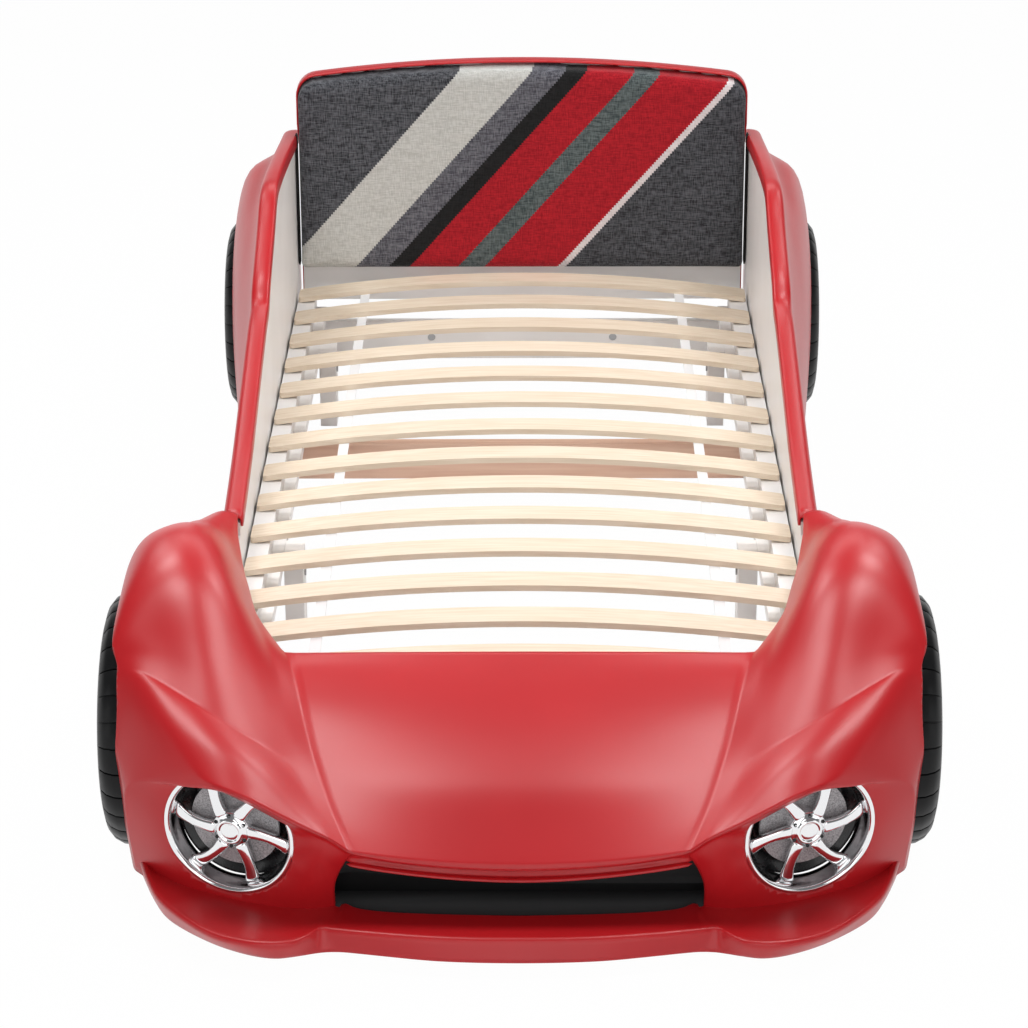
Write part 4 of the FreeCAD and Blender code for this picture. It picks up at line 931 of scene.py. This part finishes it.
tyre_black = surface("tyre_plastic", (0.008, 0.008, 0.0085), 0.34, specular=0.18)
vary(tyre_black, "Roughness", noise(tyre_black, 60, 3), 0.30, 0.42)
bump(tyre_black, noise(tyre_black, 500, 2), 0.0001)
silver = surface("silver_lacquer", (0.55, 0.56, 0.58), 0.3, metallic=0.7)
vary(silver, "Roughness", noise(silver, 200, 2), 0.24, 0.36)
TREAD_BLOCKS, GROOVE_DEPTH, SHARP_ANGLE = 30, 0.0040, math.radians(28)
FRONT_TYRE_FACE, REAR_TYRE_FACE = 0.606, 0.580
# Cross-section of a tyre, as (in from its outer face, radius, how deep the grooves are here).
TYRE_SHAPE = [(.0880, .126, 0), (.0880, .160, 0), (.0850, .174, .5), (.0760, .1840, 1),
              (.0620, .1875, 1), (.0380, .1875, 1), (.0250, .1858, 1), (.0130, .1795, 1),
              (.0045, .1690, .7), (.0008, .1560, 0), (.0002, .1460, 0), (.0020, .1380, 0),
              (.0060, .1350, 0), (.0300, .1345, 0)]
# Places across one block of the tread, as shares of its pitch, and the groove's depth there.
BLOCK_SHAPE = [(0.0, 1.0), (.030, 1.0), (.036, .12), (.075, 0.0), (.50, 0.0), (.925, 0.0),
               (.964, .12), (.970, 1.0)]
for end, wheel_y, face in (("front", FRONT_WHEEL_Y, FRONT_TYRE_FACE),
                           ("rear", REAR_WHEEL_Y, REAR_TYRE_FACE)):
    for sign, side in SIDES:
        bm = bmesh.new()
        rings = []
        for inwards, radius, grooved in TYRE_SHAPE:
            ring = []
            for block in range(TREAD_BLOCKS):
                for share, deep in BLOCK_SHAPE:
                    angle = 2 * math.pi * (block + share) / TREAD_BLOCKS
                    reach = radius - GROOVE_DEPTH * deep * grooved
                    ring.append(bm.verts.new((sign * (face - inwards),
                                              wheel_y + reach * math.cos(angle),
                                              WHEEL_HEIGHT + reach * math.sin(angle))))
            rings.append(ring)
        join_rows(bm, rings + rings[:1], closed=True)
        tyre = add_mesh(f"grooved_tyre_{end}_{side}", bm, tyre_black)
        tyre.data.set_sharp_from_angle(angle=SHARP_ANGLE)
        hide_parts(f"tyre_{end}_{side}")
        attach(tyre, "root")
        dress(silver, f"wheel_rim_{end}_{side}", f"wheel_cap_{end}_{side}")

# --- Headboard shell ----------------------------------------------------------------------
# A red moulded tray stands behind the pad. Its rounded rim frames the pad above the rails, and
# lower down, between the side panels, it is set back.

HEAD_ARCH, CORNER_TURN = 0.033, 82


def quarter(x, z, radius, angles):
    """Points on a round corner about (x, z), at angles in degrees."""
    return [(x + radius * math.cos(math.radians(angle)), z + radius * math.sin(math.radians(angle)))
            for angle in angles]


def arched_outline(half, low, top, corner, foot_corner):
    """Outline of the headboard with an arched top, as (x, z) points."""

    def arch(x):
        return top - HEAD_ARCH * (x / half) ** 2

    start, end = low + foot_corner, top - HEAD_ARCH - corner
    line = quarter(half - foot_corner, start, foot_corner, [-90 + 22.5 * step for step in range(5)])
    line += [(half, start + (end - start) * step / 8) for step in range(1, 8)]
    end_x = half - corner + corner * math.cos(math.radians(CORNER_TURN))
    centre_z = arch(end_x) - corner * math.sin(math.radians(CORNER_TURN))
    line += quarter(half - corner, centre_z, corner, [CORNER_TURN * step / 8 for step in range(9)])
    line += [(end_x * (1 - step / 24), arch(end_x * (1 - step / 24))) for step in range(1, 24)]
    return line + [(0, arch(0))] + [(-x, z) for x, z in reversed(line)]


TRAY_HALF, TRAY_FOOT, TRAY_TOP, TRAY_CORNER, TRAY_FOOT_CORNER = 0.4512, 0.158, 0.660, 0.045, 0.012
TRAY_EDGE, TRAY_SET_BACK, RAIL_MEETS_TRAY, FLATTER, NARROWER = 1.1687, 1.1865, 0.500, 0.1, 0.994
# Rings of the rim, from the inner wall of the tray over the rim to its back: (place, inset).
TRAY_RIM = [(1.2040, .0045), (1.1720, .0045), (1.1696, .0038), (TRAY_EDGE, .0022),
            (1.1696, .0006), (1.1725, 0), (1.1990, 0), (1.2050, .0020), (1.2078, .0070),
            (1.2080, .0160)]
bm = bmesh.new()
rings = []
for y, inset in TRAY_RIM:
    ring = []
    for x, z in arched_outline(TRAY_HALF - inset, TRAY_FOOT + inset, TRAY_TOP - inset,
                               TRAY_CORNER - inset, TRAY_FOOT_CORNER):
        low_down = z < RAIL_MEETS_TRAY
        depth = max(y, TRAY_SET_BACK + (y - TRAY_EDGE) * FLATTER) if low_down else y
        ring.append(bm.verts.new((x * (NARROWER if low_down else 1), depth, z)))
    rings.append(ring)
body_of_rings(bm, rings)
tray = add_mesh("headboard_tray", bm, red)
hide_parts("headboard_shell")
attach(tray, "root")

# matt black strips between the pad and the side panels paint the shade of the narrow gap there
STRIP_INNER, STRIP_OUTER, STRIP_FRONT, STRIP_BACK = 0.4498, 0.4551, 1.166, 1.176
# Rings of a strip from its foot up, as (height, how much it tapers there).
STRIP_RINGS = [(0.236, .0012), (0.242, 0), (0.36, 0), (0.505, 0), (0.511, .0012)]
for sign, side in SIDES:
    bm = bmesh.new()
    body_of_rings(bm, [[bm.verts.new((sign * x, y, z)) for x, y in (
        (STRIP_INNER + taper, STRIP_FRONT + taper), (STRIP_OUTER - taper, STRIP_FRONT + taper),
        (STRIP_OUTER - taper, STRIP_BACK - taper), (STRIP_INNER + taper, STRIP_BACK - taper))]
        for z, taper in STRIP_RINGS])
    # each strip is painted shade: a black sheet where the gap only lies in shadow
    strip = add_mesh(f"painted_shade_strip_{side}", bm, matt_black)
    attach(strip, "root")

# --- Headboard pad ------------------------------------------------------------------------
# A foam pad on a board, covered in a woven melange cloth with slanted stripes. The cover is
# drawn over crisp edges, and a short cloth simulation fills it out.

PAD_HALF, PAD_FOOT, PAD_TOP, PAD_FRONT, PAD_BACK = 0.4492, 0.232, 0.652, 1.1454, 1.1852
PAD_CORNER, PAD_FOOT_CORNER, LEAST_CORNER = 0.042, 0.010, 0.003
PAD_START_SHRINK, PAD_SLACK = 0.001, 0.0002
# Rings from the back of the pad to its face: (place along the depth, how far in).
PAD_ROLL = [(PAD_BACK, 0), (PAD_BACK - 0.012, 0), (PAD_FRONT + 0.009, 0),
            (PAD_FRONT + 0.0038, .0012), (PAD_FRONT + 0.0010, .0036), (PAD_FRONT, .0080)]
bm = bmesh.new()
rings = []
for y, inset in PAD_ROLL:
    inset += PAD_START_SHRINK
    outline = arched_outline(PAD_HALF - inset, PAD_FOOT + inset, PAD_TOP - inset,
                             PAD_CORNER - inset, max(PAD_FOOT_CORNER - inset, LEAST_CORNER))
    rings.append([bm.verts.new((x, y, z)) for x, z in outline])
body_of_rings(bm, rings)

# The threads' height, how the stripes lean, and the height at which their places are given.
THREAD_STEP, STRIPE_SLOPE, STRIPE_HEIGHT, RAMP_MIDDLE = 0.0045, 0.88, 0.442, 0.5
# Each stripe: where it starts across the pad at middle height, its dark and its light threads.
STRIPES = [
    (-.5000, (.024, .025, .030), (.135, .140, .155)),
    (-.3015, (.50, .50, .47), (.66, .66, .63)),
    (-.1565, (.055, .055, .068), (.190, .190, .215)),
    (-.0904, (.006, .006, .006), (.016, .016, .017)),
    (-.0500, (.300, .006, .014), (.520, .014, .024)),
    (.0482, (.045, .060, .062), (.150, .180, .180)),
    (.1023, (.300, .006, .014), (.520, .014, .024)),
    (.2531, (.68, .60, .60), (.82, .76, .76)),
    (.2690, (.020, .021, .025), (.110, .113, .125)),
]


def woven_stripes():
    """Slanted stripes in a slubbed cloth; their edges step from thread to thread."""
    material = surface("striped_cloth", (0.12, 0.12, 0.13), 0.92, specular=0.2)
    nodes, links = material.node_tree.nodes, material.node_tree.links
    shader = nodes["Principled BSDF"]
    shader.inputs["Sheen Weight"].default_value = 0.15
    place = nodes.new("ShaderNodeTexCoord")
    split = nodes.new("ShaderNodeSeparateXYZ")
    links.new(place.outputs["Object"], split.inputs["Vector"])
    thread = reckon(material, "SNAP", split.outputs["Z"], THREAD_STEP)
    lean = reckon(material, "MULTIPLY_ADD", thread, -STRIPE_SLOPE,
                  STRIPE_SLOPE * STRIPE_HEIGHT + RAMP_MIDDLE)
    across = reckon(material, "ADD", split.outputs["X"], lean)
    both = reckon(material, "ADD", noise(material, 62, 3, (1, 1, 7)),
                  noise(material, 62, 3, (7, 7, 1)))
    slub = nodes.new("ShaderNodeMapRange")
    slub.inputs["From Min"].default_value, slub.inputs["From Max"].default_value = 0.80, 1.22
    links.new(both, slub.inputs["Value"])
    mix = nodes.new("ShaderNodeMix")
    mix.data_type = "RGBA"
    links.new(slub.outputs["Result"], mix.inputs[0])
    for shade in (1, 2):
        ramp = nodes.new("ShaderNodeValToRGB")
        stops = ramp.color_ramp.elements
        ramp.color_ramp.interpolation = "CONSTANT"
        for number, stripe in enumerate(STRIPES):
            position = stripe[0] + RAMP_MIDDLE
            stop = stops[number] if number < 2 else stops.new(position)
            stop.position, stop.color = position, (*stripe[shade], 1)
        links.new(across, ramp.inputs["Fac"])
        links.new(ramp.outputs["Color"], mix.inputs[5 + shade])
    links.new(mix.outputs[2], shader.inputs["Base Color"])
    bump(material, slub.outputs["Result"], 0.0006)
    return material


striped_cloth = woven_stripes()
pad = add_mesh("headboard_cushion", bm, striped_cloth)


CLOTH_FRAMES, HOLD_DEPTH = 20, 0.012


def fill_cover(piece, voxel, pressure, reach, keep_behind):
    """Swell a padded piece by a short cloth simulation; no point moves further than reach."""
    remesh = piece.modifiers.new("even_mesh", "REMESH")
    remesh.mode, remesh.voxel_size, remesh.use_smooth_shade = "VOXEL", voxel, True
    apply_modifiers(piece)
    before = [vertex.co.copy() for vertex in piece.data.vertices]
    cover = piece.modifiers.new("cover", "CLOTH")
    cover.settings.quality = 5
    cover.settings.use_pressure = True
    cover.settings.uniform_pressure_force = pressure
    cover.settings.effector_weights.gravity = 0
    cover.collision_settings.use_collision = False
    cover.point_cache.frame_start, cover.point_cache.frame_end = 1, CLOTH_FRAMES
    for frame_number in range(1, CLOTH_FRAMES + 1):
        bpy.context.scene.frame_set(frame_number)
    apply_modifiers(piece)
    for vertex, start in zip(piece.data.vertices, before):
        move = vertex.co - start
        limit = reach * min(1, max(0, (keep_behind - start.y) / HOLD_DEPTH))
        if move.length > limit:
            move = move * (limit / move.length)
        vertex.co = start + move
    bpy.context.scene.frame_set(1)
    round_off(piece, 1)
    apply_modifiers(piece)
    for polygon in piece.data.polygons:
        polygon.use_smooth = True


fill_cover(pad, 0.005, 4.0, 0.005, PAD_BACK - 0.001)
# the filled cover is drawn tight over the size of its board
wide = max(vertex.co.x for vertex in pad.data.vertices)
low_end = min(vertex.co.z for vertex in pad.data.vertices)
high_end = max(vertex.co.z for vertex in pad.data.vertices)
for vertex in pad.data.vertices:
    vertex.co.x *= (PAD_HALF - PAD_SLACK) / wide
    vertex.co.z = PAD_FOOT + (vertex.co.z - low_end) * (PAD_TOP - PAD_FOOT) / (high_end - low_end)
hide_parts("headboard_pad")
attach(pad, "root")
